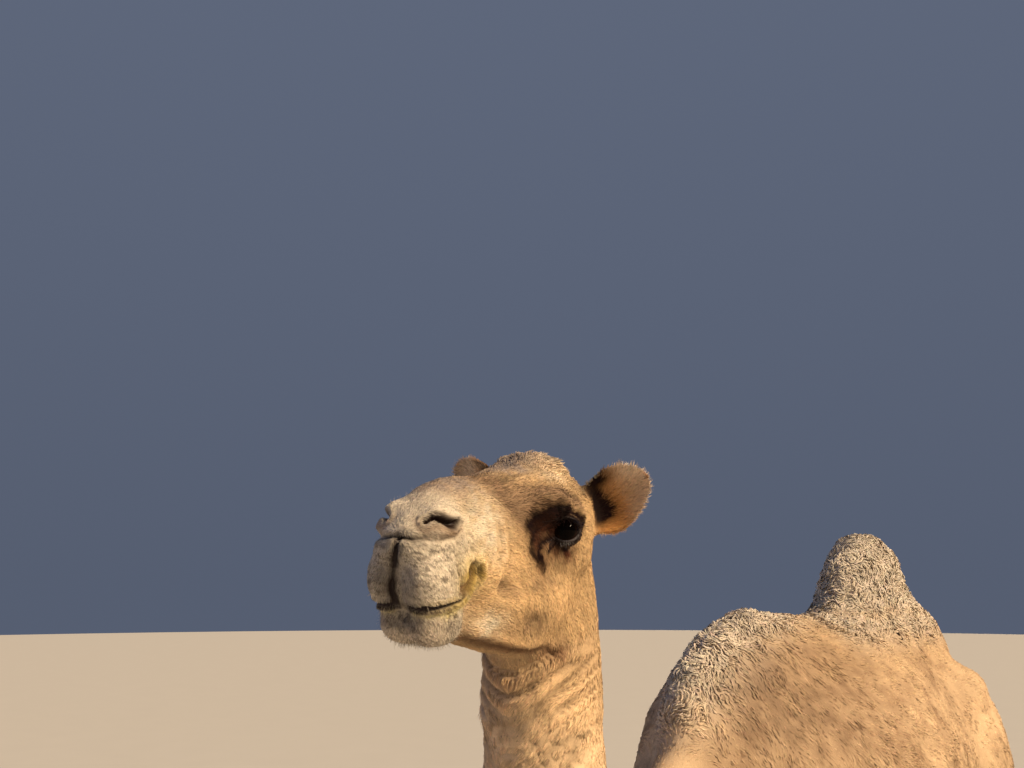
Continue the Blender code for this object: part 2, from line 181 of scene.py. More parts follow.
def head_frame():
    """The turn and the origin of the head's own frame, found from the solid eyes."""
    turn = Matrix.Rotation(HEAD_TURN, 3, "Z") @ Matrix.Rotation(HEAD_DIP, 3, "X")
    turn = turn @ Matrix.Rotation(HEAD_ROLL, 3, "Y")
    corners = [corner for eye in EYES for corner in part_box(eye)]
    middle = sum(corners, Vector()) / len(corners)
    return np.array(turn), np.array(middle - turn @ Vector((0, EYES_BEHIND * CM, 0)))


HEAD_AXES, HEAD_ORIGIN = head_frame()


def vectors(*parts):
    """Vectors from their parts, each of which is one number or an array."""
    return np.stack(np.broadcast_arrays(*parts), axis=-1)


def to_head(points):
    """Forward, across and up in centimetres, in the head's own frame."""
    local = (points - HEAD_ORIGIN) @ HEAD_AXES / CM
    return vectors(-local[:, 1], local[:, 0], local[:, 2])


def turned_from_head(ways):
    """Directions given as forward, across and up in the head's frame, in the frame of the whole animal."""
    forward, across, up = np.moveaxis(np.asarray(ways, float), -1, 0)
    return vectors(across, -forward, up) @ HEAD_AXES.T


def from_head(places):
    return turned_from_head(places) * CM + HEAD_ORIGIN


def unit(ways):
    return ways / np.maximum(np.linalg.norm(ways, axis=-1, keepdims=True), 1e-9)


def laid_along(ways, normals):
    """The ways laid flat along a surface."""
    return unit(ways - normals * (ways * normals).sum(axis=1)[:, None])


def squared(facing, ways):
    """The way nearest to facing that stands square to each of the ways."""
    return unit(np.cross(ways, np.cross(facing, ways)))


def ramp(values, low, high):
    """0 below low, 1 above high, and a smooth rise between them."""
    share = np.clip((values - low) / (high - low), 0, 1)
    return share * share * (3 - 2 * share)


def within(values, low, high):
    return (values > low) & (values < high)


def bump(distance, width=1):
    """1 at no distance, fading to nothing over that width."""
    return np.exp(-((distance / width) ** 2))


def blob(points, centre, sizes):
    """1 at the centre, fading to nothing over those half lengths."""
    return np.exp(-(((points - np.array(centre, float)) / np.array(sizes, float)) ** 2).sum(axis=1))


def from_path(points, path):
    """Each point's distance to a bent line, and how far along it from 0 to 1 the nearest place is."""
    path = np.array(path, float)
    best = np.full(len(points), np.inf)
    along = np.zeros(len(points))
    for index, (start, end) in enumerate(zip(path, path[1:])):
        step = end - start
        share = np.clip((points - start) @ step / (step @ step), 0, 1)
        distance = np.linalg.norm(points - start - share[:, None] * step, axis=1)
        nearer = distance < best
        best[nearer] = distance[nearer]
        along[nearer] = (index + share[nearer]) / (len(path) - 1)
    return best, along


def stripe(points, path, width):
    """1 on a bent line, fading to nothing over that width on both sides of it."""
    return bump(from_path(points, path)[0], width)


SCATTER = (73856093, 19349663, 83492791)  # primes that give neighbouring cells unlike numbers
MIXERS = (2654435761, 1274126177)
LOW_BITS = 0xFFFFFFFF


def noise(points, size, seed):
    """Smooth chance values from -1 to 1 that change over about that size."""
    cells = np.asarray(points, float) / size
    base = np.floor(cells).astype(np.int64)
    part = cells - base
    part = part * part * (3 - 2 * part)
    total = np.zeros(len(cells))
    for corner in itertools.product((0, 1), repeat=3):
        stirred = ((base + corner) * SCATTER).sum(axis=1) + seed * MIXERS[0]
        stirred = ((stirred ^ (stirred >> 13)) * MIXERS[1]) & LOW_BITS
        value = ((stirred ^ (stirred >> 15)) & 0xFFFF) / 0x8000 - 1
        total += value * np.prod(np.where(corner, part, 1 - part), axis=1)
    return total


STREAK_GAIN = 1.9  # gives back the height that the mean of several values loses


def streaks(places, lies, width, reach, seed):
    """Chance values from about -1 to 1, in streaks of that width that run along the lie of the hair."""
    steps = np.linspace(-0.5, 0.5, 5) * reach
    return STREAK_GAIN * np.mean([noise(places + lies * step, width, seed) for step in steps], axis=0)


def relaxed(values, links, rounds, pull=0.5):
    """Values at the vertices, each drawn by that share to the mean of its neighbours, round after round."""
    values = np.array(values, float)
    columns = values.reshape(len(values), -1)
    ends = np.concatenate([links[:, 0], links[:, 1]])
    others = np.concatenate([links[:, 1], links[:, 0]])
    count = np.maximum(np.bincount(ends, minlength=len(values)), 1)
    for _ in range(rounds):
        for column in columns.T:
            mean = np.bincount(ends, weights=column[others], minlength=len(values)) / count
            column += pull * (mean - column)
    return columns.reshape(values.shape)


# --------------------------------------------------------------------------------------------------
# Meshes


def only(*objects):
    """Selects these objects and nothing else, and makes the first one active."""
    bpy.ops.object.select_all(action="DESELECT")
    for item in objects:
        item.select_set(True)
    bpy.context.view_layer.objects.active = objects[0]


def linked(name, data):
    """A new object with that data, in the scene."""
    made = bpy.data.objects.new(name, data)
    bpy.context.scene.collection.objects.link(made)
    return made


@contextmanager
def reshaped(mesh, source=None):
    """Opens a mesh, or another one as its source, for editing, and writes it back at the end."""
    form = bmesh.new()
    form.from_mesh(source or mesh)
    yield form
    form.to_mesh(mesh)
    form.free()


def copy_of(name, node_name, grow=0.0):
    """A closed copy of a solid, each vertex pushed outwards by grow metres."""
    data = bpy.data.meshes.new(name)
    with reshaped(data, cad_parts[node_name].data) as form:
        bmesh.ops.remove_doubles(form, verts=form.verts, dist=1e-5)
        form.normal_update()
        for vertex in form.verts:
            vertex.co += vertex.normal * grow
    return linked(name, data)


def joined(name, objects):
    only(*objects)
    bpy.ops.object.join()
    objects[0].name = name
    objects[0].data.name = name
    return objects[0]


def apply_all(target):
    only(target)
    for modifier in list(target.modifiers):
        bpy.ops.object.modifier_apply(modifier=modifier.name)


def fused(name, nodes, voxel, smoothing):
    """The solids as one closed skin, smoothed without shrinking it."""
    grown = {node_name: EAR_OVERLAP if node_name in EARS else OVERLAP for node_name in nodes}
    whole = joined(name, [copy_of(name, node_name, grow) for node_name, grow in grown.items()])
    remesh = whole.modifiers.new("Fuse", "REMESH")
    remesh.mode = "VOXEL"
    remesh.voxel_size = voxel
    apply_all(whole)
    places, links = places_of(whole.data), links_of(whole.data)
    for _ in range(smoothing):
        for pull in SMOOTHING_PULLS:
            places = relaxed(places, links, 1, pull)
    move_to(whole.data, places)
    return whole


def cut_level(target, height, keep_above):
    """Cuts the neck of a skin at that height and leaves the cut open. keep_above leaves the head alone."""
    with reshaped(target.data) as form:
        if keep_above:
            behind = [vertex for vertex in form.verts if vertex.co.y > NECK_FRONT]
            bmesh.ops.delete(form, geom=behind, context="VERTS")
        ahead = [face for face in form.faces
                 if keep_above or all(vertex.co.y < NECK_FRONT for vertex in face.verts)]
        parts = set(ahead)
        for face in ahead:
            parts.update(face.verts)
            parts.update(face.edges)
        bmesh.ops.bisect_plane(form, geom=list(parts), plane_co=(0, 0, height), plane_no=(0, 0, 1),
                               clear_inner=keep_above, clear_outer=not keep_above)


def evened(form, vertices, rounds):
    """Draws the vertices halfway to the middle of their neighbours, round after round."""
    for _ in range(rounds):
        bmesh.ops.smooth_vert(form, verts=vertices, factor=0.5,
                              use_axis_x=True, use_axis_y=True, use_axis_z=True)


def split_many_sided(form):
    """Cuts the faces with more than four corners into triangles."""
    bmesh.ops.triangulate(form, faces=[face for face in form.faces if len(face.verts) > 4])


def bridged(name, upper, lower):
    """The head's skin and the body's as one, with a band of faces between their open edges."""
    whole = joined(name, [lower, upper])
    with reshaped(whole.data) as form:
        bmesh.ops.bridge_loops(form, edges=[edge for edge in form.edges if edge.is_boundary])
        split_many_sided(form)
        near = [vertex for vertex in form.verts
                if abs(vertex.co.z - NECK_SEAM) < 5 * SEAM_BAND and vertex.co.y < NECK_FRONT]
        evened(form, near, 12)
        bmesh.ops.recalc_face_normals(form, faces=form.faces)
    return whole


def refined(target, chosen):
    """Splits the faces whose vertices are all chosen into four, and evens them a little."""
    with reshaped(target.data) as form:
        wanted = chosen(np.array([vertex.co for vertex in form.verts]))
        faces = [face for face in form.faces if all(wanted[vertex.index] for vertex in face.verts)]
        edges = {edge for face in faces for edge in face.edges}
        split = bmesh.ops.subdivide_edges(form, edges=list(edges), cuts=1, use_grid_fill=True)
        fresh = {item for item in split["geom"] if isinstance(item, bmesh.types.BMVert)}
        around = fresh | {other for vertex in fresh for edge in vertex.link_edges for other in edge.verts}
        evened(form, list(around), 2)
        split_many_sided(form)


def read_all(items, attribute, width=1, kind=float):
    """One attribute of all the items, with a row for each of them where it has more than one value."""
    found = np.empty(len(items) * width, kind)
    items.foreach_get(attribute, found)
    return found.reshape(-1, width) if width > 1 else found


def places_of(mesh):
    return read_all(mesh.vertices, "co", 3)


def normals_of(mesh):
    return read_all(mesh.vertex_normals, "vector", 3)


def links_of(mesh):
    return read_all(mesh.edges, "vertices", 2, np.int32)


def move_to(mesh, places):
    mesh.vertices.foreach_set("co", np.asarray(places, np.float32).ravel())
    mesh.update()


def write_field(mesh, name, kind, values):
    """A named value at each vertex, for the coat and the materials."""
    slot = {"FLOAT": "value", "FLOAT_VECTOR": "vector", "BYTE_COLOR": "color", "FLOAT_COLOR": "color"}[kind]
    made = mesh.attributes.get(name) or mesh.attributes.new(name, kind, "POINT")
    made.data.foreach_set(slot, np.asarray(values, np.float32).ravel())


def read_field(mesh, name, width=1):
    slot = "vector" if width > 1 else "value"
    return read_all(mesh.attributes[name].data, slot, width, np.float32).astype(float)


def write_tones(mesh, tones, kind="FLOAT_COLOR"):
    """The colour of each vertex, for the materials."""
    write_field(mesh, "Tone", kind, np.concatenate([tones, np.ones((len(tones), 1))], axis=1))


# --------------------------------------------------------------------------------------------------
# The skin: its coat's depth, its lids, lips, nostrils and folds


# Lines and places on the head are (forward, across, up) in centimetres, on its left side; the right side
# mirrors them, and the groove of the upper lip runs down the middle.
NOSTRIL = [(28.4, 2.6, 0.2), (28.0, 3.1, 0.8), (27.0, 3.8, 0.6), (26.0, 4.4, 0.2), (24.9, 4.9, 0.1),
           (24.3, 5.0, 0.4)]
NOSTRIL_FOLD = [(30.3, 0.4, -1.5), (29.8, 1.8, -1.8), (28.3, 3.4, -2.0), (26.4, 4.5, -1.9),
                (24.2, 5.0, -1.4), (23.2, 5.1, -0.2)]
PHILTRUM = [(30.2, 0.2, -1.6), (30.5, 0.1, -3.3), (29.7, -0.5, -5.7), (28.9, -0.8, -8.0), (27.9, -0.6, -9.7)]
MOUTH = [(28.2, 0, -9.8), (28.1, 3.0, -9.7), (25.4, 4.9, -9.4), (21.8, 5.3, -8.8), (19.4, 5.2, -7.8),
         (18.4, 5.3, -6.2), (19.2, 5.5, -4.9)]
MOUTH_POCKET = [(22.6, 5.6, -7.6), (21.2, 5.5, -6.9), (20.4, 5.4, -5.9), (20.8, 5.4, -4.9)]
POCKET_RIM = [(21.0, 5.5, -8.4), (19.3, 5.4, -7.2), (18.8, 5.3, -5.6), (20.0, 5.4, -4.0), (22.2, 5.6, -4.6)]

# Swellings and hollows of the face: (centre, half lengths, height in centimetres).
SWELLINGS = [
    ((3.6, 8.2, 3.8), (3.4, 1.8, 1.1), 0.55),  # brow
    ((6.4, 6.7, 0.6), (1.9, 2.0, 1.5), -0.60),  # hollow ahead of the eye
    ((5.6, 7.2, -1.6), (2.0, 2.0, 1.8), -0.60),  # where the tears run
    ((-7.5, 7.5, 6.0), (2.4, 2.4, 2.2), -0.70),  # temple
    ((12.3, 6.2, -7.7), (1.4, 2.0, 1.0), -0.95),  # dimple of the cheek
    ((14.8, 5.8, -6.0), (1.6, 2.0, 2.6), 0.50),  # cheek behind the corner of the mouth
    ((7.0, 7.0, -10.4), (4.0, 2.4, 2.2), 0.65),  # chewing muscle
    ((-2.0, 8.0, -10.0), (3.6, 3.0, 3.6), 0.50),  # jowl
    ((1.5, 7.6, -5.6), (3.0, 2.4, 1.4), -0.40),  # under the cheek bone
    ((2.8, 6.4, -12.6), (2.6, 2.4, 1.2), -0.60),  # hollow above the edge of the jaw
    ((18.0, 4.4, -11.6), (1.4, 2.0, 2.2), -0.75),  # behind the chin
    ((22.6, 4.6, -12.8), (1.9, 2.0, 1.7), -0.75),  # back corner of the chin
    ((28.4, 3.2, -5.4), (2.4, 2.4, 3.0), 0.45),  # half of the upper lip
    ((27.4, 3.6, 2.0), (2.0, 1.7, 0.9), 0.50),  # hood over the nostril
    ((26.2, 4.6, -0.9), (2.3, 1.4, 0.6), 0.55),  # flap under the nostril
    ((20.5, 4.4, 1.6), (1.6, 2.0, 1.8), -0.50),  # side of the nose behind the nostril
]

# Ridges and creases of the face: (line, half width, height in centimetres).
CREASES = [
    ([(8.2, 5.9, 3.0), (3.8, 8.0, 3.9), (-1.4, 9.2, 3.6), (-4.6, 9.4, 2.4)], 0.9, 0.55),  # edge of the brow
    ([(9.5, 6.2, 2.0), (4.4, 8.3, 2.9), (-0.8, 9.5, 2.9), (-3.8, 9.5, 1.8)], 0.4, -0.30),  # under it
    ([(2.6, 8.0, -4.8), (8.6, 7.0, -5.0), (13.4, 6.2, -3.6)], 1.1, 0.42),  # cheek bone
    ([(14.9, 5.8, 0.4), (14.6, 5.8, -2.6), (15.6, 5.6, -4.8)], 0.45, -0.55),
    ([(12.9, 6.0, 0.0), (12.2, 6.2, -3.4)], 0.4, -0.35),
    ([(10.3, 6.4, -2.4), (12.2, 6.2, -4.8), (12.9, 6.2, -7.0)], 0.5, -0.60),
    ([(15.6, 5.6, -7.2), (13.4, 6.0, -8.2), (11.6, 6.3, -9.6)], 0.5, -0.45),
    ([(8.6, 6.6, -6.4), (6.0, 6.6, -9.4), (5.0, 6.4, -12.0)], 0.7, -0.35),
    ([(23.9, 5.0, -2.4), (24.2, 5.5, -5.3), (23.2, 5.4, -7.6)], 0.45, -0.40),  # back edge of the lip
    ([(28.5, 2.5, 2.4), (27.0, 3.6, 2.7), (25.0, 4.6, 2.2), (23.5, 5.2, 0.6), (23.4, 5.3, -0.8)], 0.6, 0.30),
    ([(28.3, 2.2, 3.8), (26.4, 3.4, 4.0), (24.0, 4.6, 3.2), (22.4, 5.2, 1.2), (22.2, 5.3, -1.0)], 0.5, -0.35),
    (MOUTH_POCKET, 0.62, -0.85),
    ([(22.8, 5.6, -5.0), (21.4, 5.5, -3.9), (19.4, 5.4, -3.9), (17.8, 5.3, -5.0), (17.4, 5.2, -6.6),
      (18.4, 5.0, -8.6)], 0.6, 0.40),  # ring round the corner of the mouth
    ([(16.5, 3.4, -13.2), (9.3, 4.4, -14.7), (2.0, 5.2, -15.9), (-3.4, 6.6, -16.0)], 0.8, 0.50),  # jaw's edge
    ([(16.0, 2.6, -14.6), (9.0, 3.2, -16.2), (1.5, 3.8, -17.4), (-4.2, 6.4, -17.2)], 0.6, -0.60),  # under it
    ([(3.5, 0.0, 8.2), (-2.0, 0.0, 10.2), (-7.0, 0.0, 10.8)], 0.6, -0.25),  # groove down the crown
]

EYE_FACING = (0.81, 0.585, 0.04)
LID_HALF_LENGTH = 2.35
LID_HALF_HEIGHT = 1.55
LID_POINTED = 1.75  # 2 gives an oval opening, and less than 2 a more pointed one
LID_EDGE_SCALE = 1.5  # turns shares of the opening into centimetres from its edge
LID_TURN = 1.9  # the lids lie within this angle from the middle of the opening
LID_THICK = 0.20
LID_EDGE = 0.30
LID_FADES = (0.5, 2.0)  # the lids end over this distance from the opening
LID_REACH = (3.3, 5.4)  # and over this distance from the eye's centre

# The crest of wool over the withers, in metres. The animal's right side falls away steeply beside it.
CREST = [(0.028, -0.40, 1.36), (0.027, -0.33, 1.48), (0.024, -0.27, 1.59), (0.016, -0.20, 1.65),
         (0.004, -0.10, 1.70), (0.0, 0.02, 1.725)]
CREST_HEIGHT = 1.4  # in centimetres
CREST_WIDTH = 0.035
CREST_GAP = 0.085

THROAT_SLANT = 0.68  # the folds and the locks of the throat rise this much for each length across

# The line of the neck from the head to the withers, in metres across, along and up.
NECK_LINE = np.array([(0.15, -0.86, 1.83), (0.147, -0.854, 1.72), (0.136, -0.848, 1.60),
                      (0.117, -0.81, 1.46), (0.09, -0.72, 1.355), (0.055, -0.61, 1.285),
                      (0.015, -0.47, 1.265), (-0.005, -0.33, 1.285), (-0.005, -0.1, 1.36)])


def mirrored(head):
    """The same places with both sides of the head laid on its left one."""
    return head * (1, 0, 1) + abs(head) * (0, 1, 0)


class Skin:
    """The skin's arrays: places, ways out, links, and places in the head's frame. face keeps the latter as
    they were before the lids and the creases were made, so that each mark stays on its own form."""

    def __init__(self, mesh):
        self.mesh = mesh
        self.read()
        self.face = self.head

    def read(self):
        self.places = places_of(self.mesh)
        self.normals = normals_of(self.mesh)
        self.links = links_of(self.mesh)
        self.head = to_head(self.places)

    def move(self, places):
        move_to(self.mesh, places)
        self.read()

    def rise(self, heights):
        """Moves each vertex outwards by that many centimetres."""
        self.move(self.places + self.normals * (np.asarray(heights) * CM)[:, None])


def nearest_nodes(places):
    """The index in FLESH of the solid that each place lies nearest to."""
    corners, faces, owners = [], [], []
    for index, node_name in enumerate(FLESH):
        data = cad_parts[node_name].data
        start = len(corners)
        corners += [vertex.co.copy() for vertex in data.vertices]
        faces += [[start + corner for corner in polygon.vertices] for polygon in data.polygons]
        owners += [index] * len(data.polygons)
    tree = BVHTree.FromPolygons(corners, faces)
    return np.array([owners[tree.find_nearest(place)[2]] for place in places])


BORDER_ROUNDS = 6


def node_shares(places, links):
    """For each solid, how much of each vertex is its own, with soft borders."""
    nearest = nearest_nodes(places)
    hard = (nearest[:, None] == np.arange(len(FLESH))).astype(float)
    return dict(zip(FLESH, relaxed(hard, links, BORDER_ROUNDS).T))


def zones_of(places, head, shares):
    """How much of each vertex lies in each zone of the coat."""
    forward, _, up = head.T
    x, y, z = places.T
    near = mirrored(head)
    trunk, neck, on_head = shares["trunk"], shares["neck"], shares["head"]

    def on_both_sides(place, sizes):
        forward, across, up = place
        return np.maximum(*[blob(head, (forward, sign * across, up), sizes) for sign in SIDES.values()])

    crown = on_head * ramp(up, 4.6, 8.0) * ramp(-forward, -3.0, 2.5)
    nape = on_head * ramp(-forward, 11, 15) * ramp(up, 0, 4)
    brow = on_head * on_both_sides((1.5, 7.8, 4.3), (6.5, 2.6, 1.6))
    brow = np.maximum(brow, on_head * blob(near, (8.5, 3.5, 5.0), (5.0, 4.0, 3.0)))
    ridge = bump(x - 0.01, 0.055) * ramp(z, 1.42, 1.58) * ramp(y, -0.42, -0.28) * ramp(-y, -0.30, -0.05)
    wool = np.maximum(ridge * (trunk + neck), shares["hump"])
    behind_hump = trunk * ramp(z, 1.60, 1.72) * ramp(y, 0.15, 0.35) * ramp(-y, -1.05, -0.85)
    return {
        "head": on_head,
        "crown": np.maximum(crown, nape),
        "muzzle": on_head * ramp(forward + 0.35 * np.minimum(-up, 8), 19.5, 24),
        "brow": brow,
        "lids": on_both_sides((0.6, 9.0, 0.0), (3.4, 2.8, 2.6)),
        "legs": sum(shares[name] for name in LEGS),
        "feet": sum(shares[name] for name in LEGS if "foot" in name),
        "wool": np.maximum(wool, behind_hump),
        "belly": trunk * ramp(-z, -1.16, -1.02),
        "tail_end": shares["tail"] * ramp(-z, -1.08, -0.95),
        "tail": shares["tail"],
        "neck": neck,
        "throat": neck * ramp(z, 1.38, 1.5),
        "ears": shares["ear_left"] + shares["ear_right"],
    }


# What each zone of the coat gives its tufts: the depth of the coat, the setting for the tufts' length and
# their share of it, their width and curl, how much light and dark locks differ, and the share of dark hairs.
# Depth, width and curl are in centimetres. Each zone takes over from those above it, and None leaves theirs.
Zone = namedtuple("Zone", "depth hair share width curl contrast dark")
ZONES = {
    "body": Zone(0.24, "body", 1.0, 0.24, 0.16, 0.15, 0.04),
    "neck": Zone(0.16, "body", 0.72, 0.12, 0.08, 0.22, None),
    "belly": Zone(0.6, "body", 1.0, None, None, None, None),
    "legs": Zone(0.35, "body", 0.75, 0.20, 0.05, 0.12, None),
    "feet": Zone(0.25, "body", 0.28, 0.14, 0.0, 0.08, None),
    "wool": Zone(0.95, "wool", 1.0, 0.26, 0.50, 0.16, None),
    "tail": Zone(0.6, "body", 0.8, None, None, None, None),
    "tail_end": Zone(None, "switch", 1.0, 0.25, 0.3, None, None),
    "head": Zone(0.28, "face", 1.0, 0.09, 0.02, 0.17, None),
    "crown": Zone(0.55, "face", 1.9, 0.11, 0.24, 0.45, 0.20),
    "brow": Zone(0.45, "face", 1.7, 0.10, 0.08, 0.60, 0.24),
    "muzzle": Zone(0.15, "face", 0.6, 0.07, 0.01, 0.17, 0.10),
    "lids": Zone(0.12, "face", 0.4, 0.06, 0.0, None, None),
    "ears": Zone(0.22, "face", 1.3, 0.09, 0.04, None, None),
}


def blended(zones, own):
    """A value for each vertex: the body's, taken over in order by each zone's own."""
    found = np.full(len(zones["head"]), float(own["body"]))
    for name, value in own.items():
        if name != "body" and value is not None:
            share = np.clip(zones[name], 0, 1)
            found = found * (1 - share) + value * share
    return found


def from_zones(zones, measure):
    """One of the measures of the zones, at each vertex."""
    return blended(zones, {name: getattr(zone, measure) for name, zone in ZONES.items()})


def eye_axis(sign):
    """The way that an eye faces, in the head's frame."""
    return unit(np.array(EYE_FACING) * (1, sign, 1))


def lid_measures(head, sign):
    """For one eye: each point's reach from its centre, and its place round the opening of the lids."""
    centre = np.array((-EYES_BEHIND, EYE_SIDE * sign, 0))
    axis = eye_axis(sign)
    inner = unit(np.array((EYE_FACING[1], -EYE_FACING[0] * sign, -0.10)))
    inner = unit(inner - axis * (inner @ axis))
    over = np.cross(inner, axis) * sign
    over = over * np.sign(over[2])
    away = head - centre
    reach = np.linalg.norm(away, axis=1)
    ray = away / reach[:, None]
    turn = np.arccos(np.clip(ray @ axis, -1, 1))
    flat = unit(ray - (ray @ axis)[:, None] * axis)
    along, above = turn * EYE_RADIUS * (flat @ inner), turn * EYE_RADIUS * (flat @ over)
    round_it = (abs(along) / LID_HALF_LENGTH) ** LID_POINTED + (abs(above) / LID_HALF_HEIGHT) ** LID_POINTED
    edge = (round_it ** (1 / LID_POINTED) - 1) * LID_EDGE_SCALE
    return {"centre": centre, "axis": axis, "inner": inner, "over": over, "reach": reach, "along": along,
            "above": above, "edge": edge, "ahead": turn < LID_TURN}


def lid_rays(eye, along, above):
    """The ways out of an eye to places round the opening of its lids."""
    turn = np.hypot(along, above) / EYE_RADIUS
    flat = unit(along[:, None] * eye["inner"] + above[:, None] * eye["over"])
    return np.cos(turn)[:, None] * eye["axis"] + np.sin(turn)[:, None] * flat


def lid_edges(head):
    """Each point's distance from the opening of the nearer eye, and a long way off away from the eyes."""
    eyes = [lid_measures(head, sign) for sign in SIDES.values()]
    return np.minimum(*[np.where((eye["reach"] < 5) & eye["ahead"], eye["edge"], 9.0) for eye in eyes])


def set_lids(skin):
    """Lays the skin over each eye as two lids with thick edges, and tucks it in behind the eye's surface."""
    head = skin.head.copy()
    for sign in SIDES.values():
        eye = lid_measures(skin.head, sign)
        edge = eye["edge"]
        near = (eye["reach"] < LID_REACH[1]) & eye["ahead"]
        lift = np.sqrt(np.clip(1 - (1 - np.clip(edge / LID_EDGE, 0, 1)) ** 2, 0, 1))
        crease = 0.12 * bump(edge - 1.0, 0.18)
        lid = EYE_RADIUS + 0.03 + LID_THICK * lift + 0.10 * np.clip(edge, 0, 2) - crease
        share = (1 - ramp(edge, *LID_FADES)) * (1 - ramp(eye["reach"], *LID_REACH))
        reach = lid * share + eye["reach"] * (1 - share)
        reach = np.where(edge < 0, EYE_RADIUS - 0.35 - 0.25 * np.clip(-edge, 0, 1), reach)
        rim = abs(edge) < 0.10
        slide = np.where(rim, 1 / (1 + edge / LID_EDGE_SCALE), 1)
        reach = np.where(rim, EYE_RADIUS + 0.02, reach)
        moved = eye["centre"] + lid_rays(eye, eye["along"] * slide, eye["above"] * slide) * reach[:, None]
        head[near] = moved[near]
    skin.move(from_head(head))


def relief(near):
    """Heights in centimetres of the swellings and creases of the face."""
    heights = sum(height * blob(near, centre, sizes) for centre, sizes, height in SWELLINGS)
    for line, width, height in CREASES:
        heights += height * stripe(near, line, width)
    return heights


def nostril_gap(near):
    """Each place's distance from the middle of the nostril as a share of its half width there."""
    distance, along = from_path(near, NOSTRIL)
    return distance / (0.32 + 0.22 * bump(along - 0.65, 0.30))


def lip_wrinkles(head):
    """Fine wrinkles that run down the lips, from 0 to 1 in the middle of each."""
    slanted = head @ np.array([(0.5, 0.2, 0.0), (0.0, 0.4, 0.5), (0.5, 0.1, 1.6)])
    return 1 - abs(noise(slanted, 0.55, 3))


def face_forms(head, on_head):
    """Heights in centimetres of the forms that the skin adds to the head."""
    near = mirrored(head)
    forward, _, up = head.T
    nostril, _ = from_path(near, NOSTRIL)
    fold, along_fold = from_path(near, NOSTRIL_FOLD)
    lips, along_lips = from_path(near, MOUTH)
    heights = relief(near)
    heights -= 1.25 * bump(nostril_gap(near))
    heights += 0.16 * bump(nostril - 0.75, 0.25)
    heights -= (0.75 - 0.4 * ramp(along_fold, 0.1, 0.6)) * bump(fold, 0.36 + 0.3 * along_fold)
    heights -= 0.75 * stripe(head, PHILTRUM, 0.36)
    heights -= (0.8 - 0.3 * ramp(along_lips, 0.6, 1.0)) * bump(lips, 0.30)
    heights += 0.16 * bump(lips - 0.7, 0.28)
    wrinkled = ramp(forward, 22, 25) * ramp(-up, 1.8, 3.0) * ramp(up, -13, -10)
    heights += wrinkled * 0.10 * (lip_wrinkles(head) - 0.6)
    heights += on_head * 0.06 * noise(head, 1.6, 4)
    crown = ramp(up, 5.5, 8.0) * ramp(-forward, -5.0, 1.0)
    heights += crown * (0.45 * noise(head, 2.2, 5) + 0.25 * noise(head, 1.1, 6))
    return heights * np.clip(on_head * 1.6, 0, 1)


def throat_sweep(head):
    """A length across the locks that sweep round the throat under the jaw, in centimetres."""
    forward, across, up = head.T
    return up - THROAT_SLANT * np.hypot(across, 3.6) + 0.3 * forward + 1.2 * noise(head, 6, 21)


def throat_folds(head):
    """Folds from -1 to 1 that sweep round the throat under the jaw."""
    forward, _, up = head.T
    waves = noise(vectors(throat_sweep(head), 0.10 * forward, 0), 1.5, 22)
    folds = 0.4 + 0.4 * waves - 1.3 * bump(waves, 0.20)
    return folds * ramp(-up, 16.0, 18.5) * ramp(up, -44, -28) * ramp(forward, -15, -9)


def trimmed_ears(skin, shares):
    """Draws in the tip of each ear, and its lower edge towards the tip, to leave room for the fringe."""
    head = skin.head.copy()
    for side, sign in SIDES.items():
        ear = ear_measures(head, sign)
        own = shares["ear_" + side]
        below = np.minimum(ear["height"], 0) * EAR_NARROWS * ramp(ear["length"], -3, 4) * own
        beyond = np.maximum(ear["length"], 0) * EAR_SHORTENS * own
        head -= below[:, None] * ear["edge"] + beyond[:, None] * ear["along"]
    skin.move(from_head(head))


def neck_forms(places, shares):
    """Heights in centimetres of the folds of the throat, of the crest of the withers, and of the muscles."""
    folds = throat_folds(to_head(places)) * (shares["neck"] + shares["head"])
    coarse = noise(places, 0.09, 23) + 0.5 * noise(places, 0.045, 24)
    heights = 0.45 * folds + 0.22 * coarse * (shares["neck"] + shares["trunk"])
    heights += CREST_HEIGHT * stripe(places, CREST, CREST_WIDTH)
    return heights - 1.5 * CREST_HEIGHT * stripe(places, np.array(CREST) - (CREST_GAP, 0, 0), CREST_WIDTH)


def inside_of(skin, zones):
    """Moves the skin in by the coat's depth, keeping the soles on the ground."""
    depths = relaxed(from_zones(zones, "depth"), skin.links, 4)
    sole = ramp(-skin.places[:, 2], -0.03, -0.012) * ramp(-skin.normals[:, 2], 0.3, 0.7)
    skin.rise(-depths * (1 - sole))
    skin.move(np.maximum(skin.places, (-np.inf, -np.inf, SOLE_HEIGHT)))


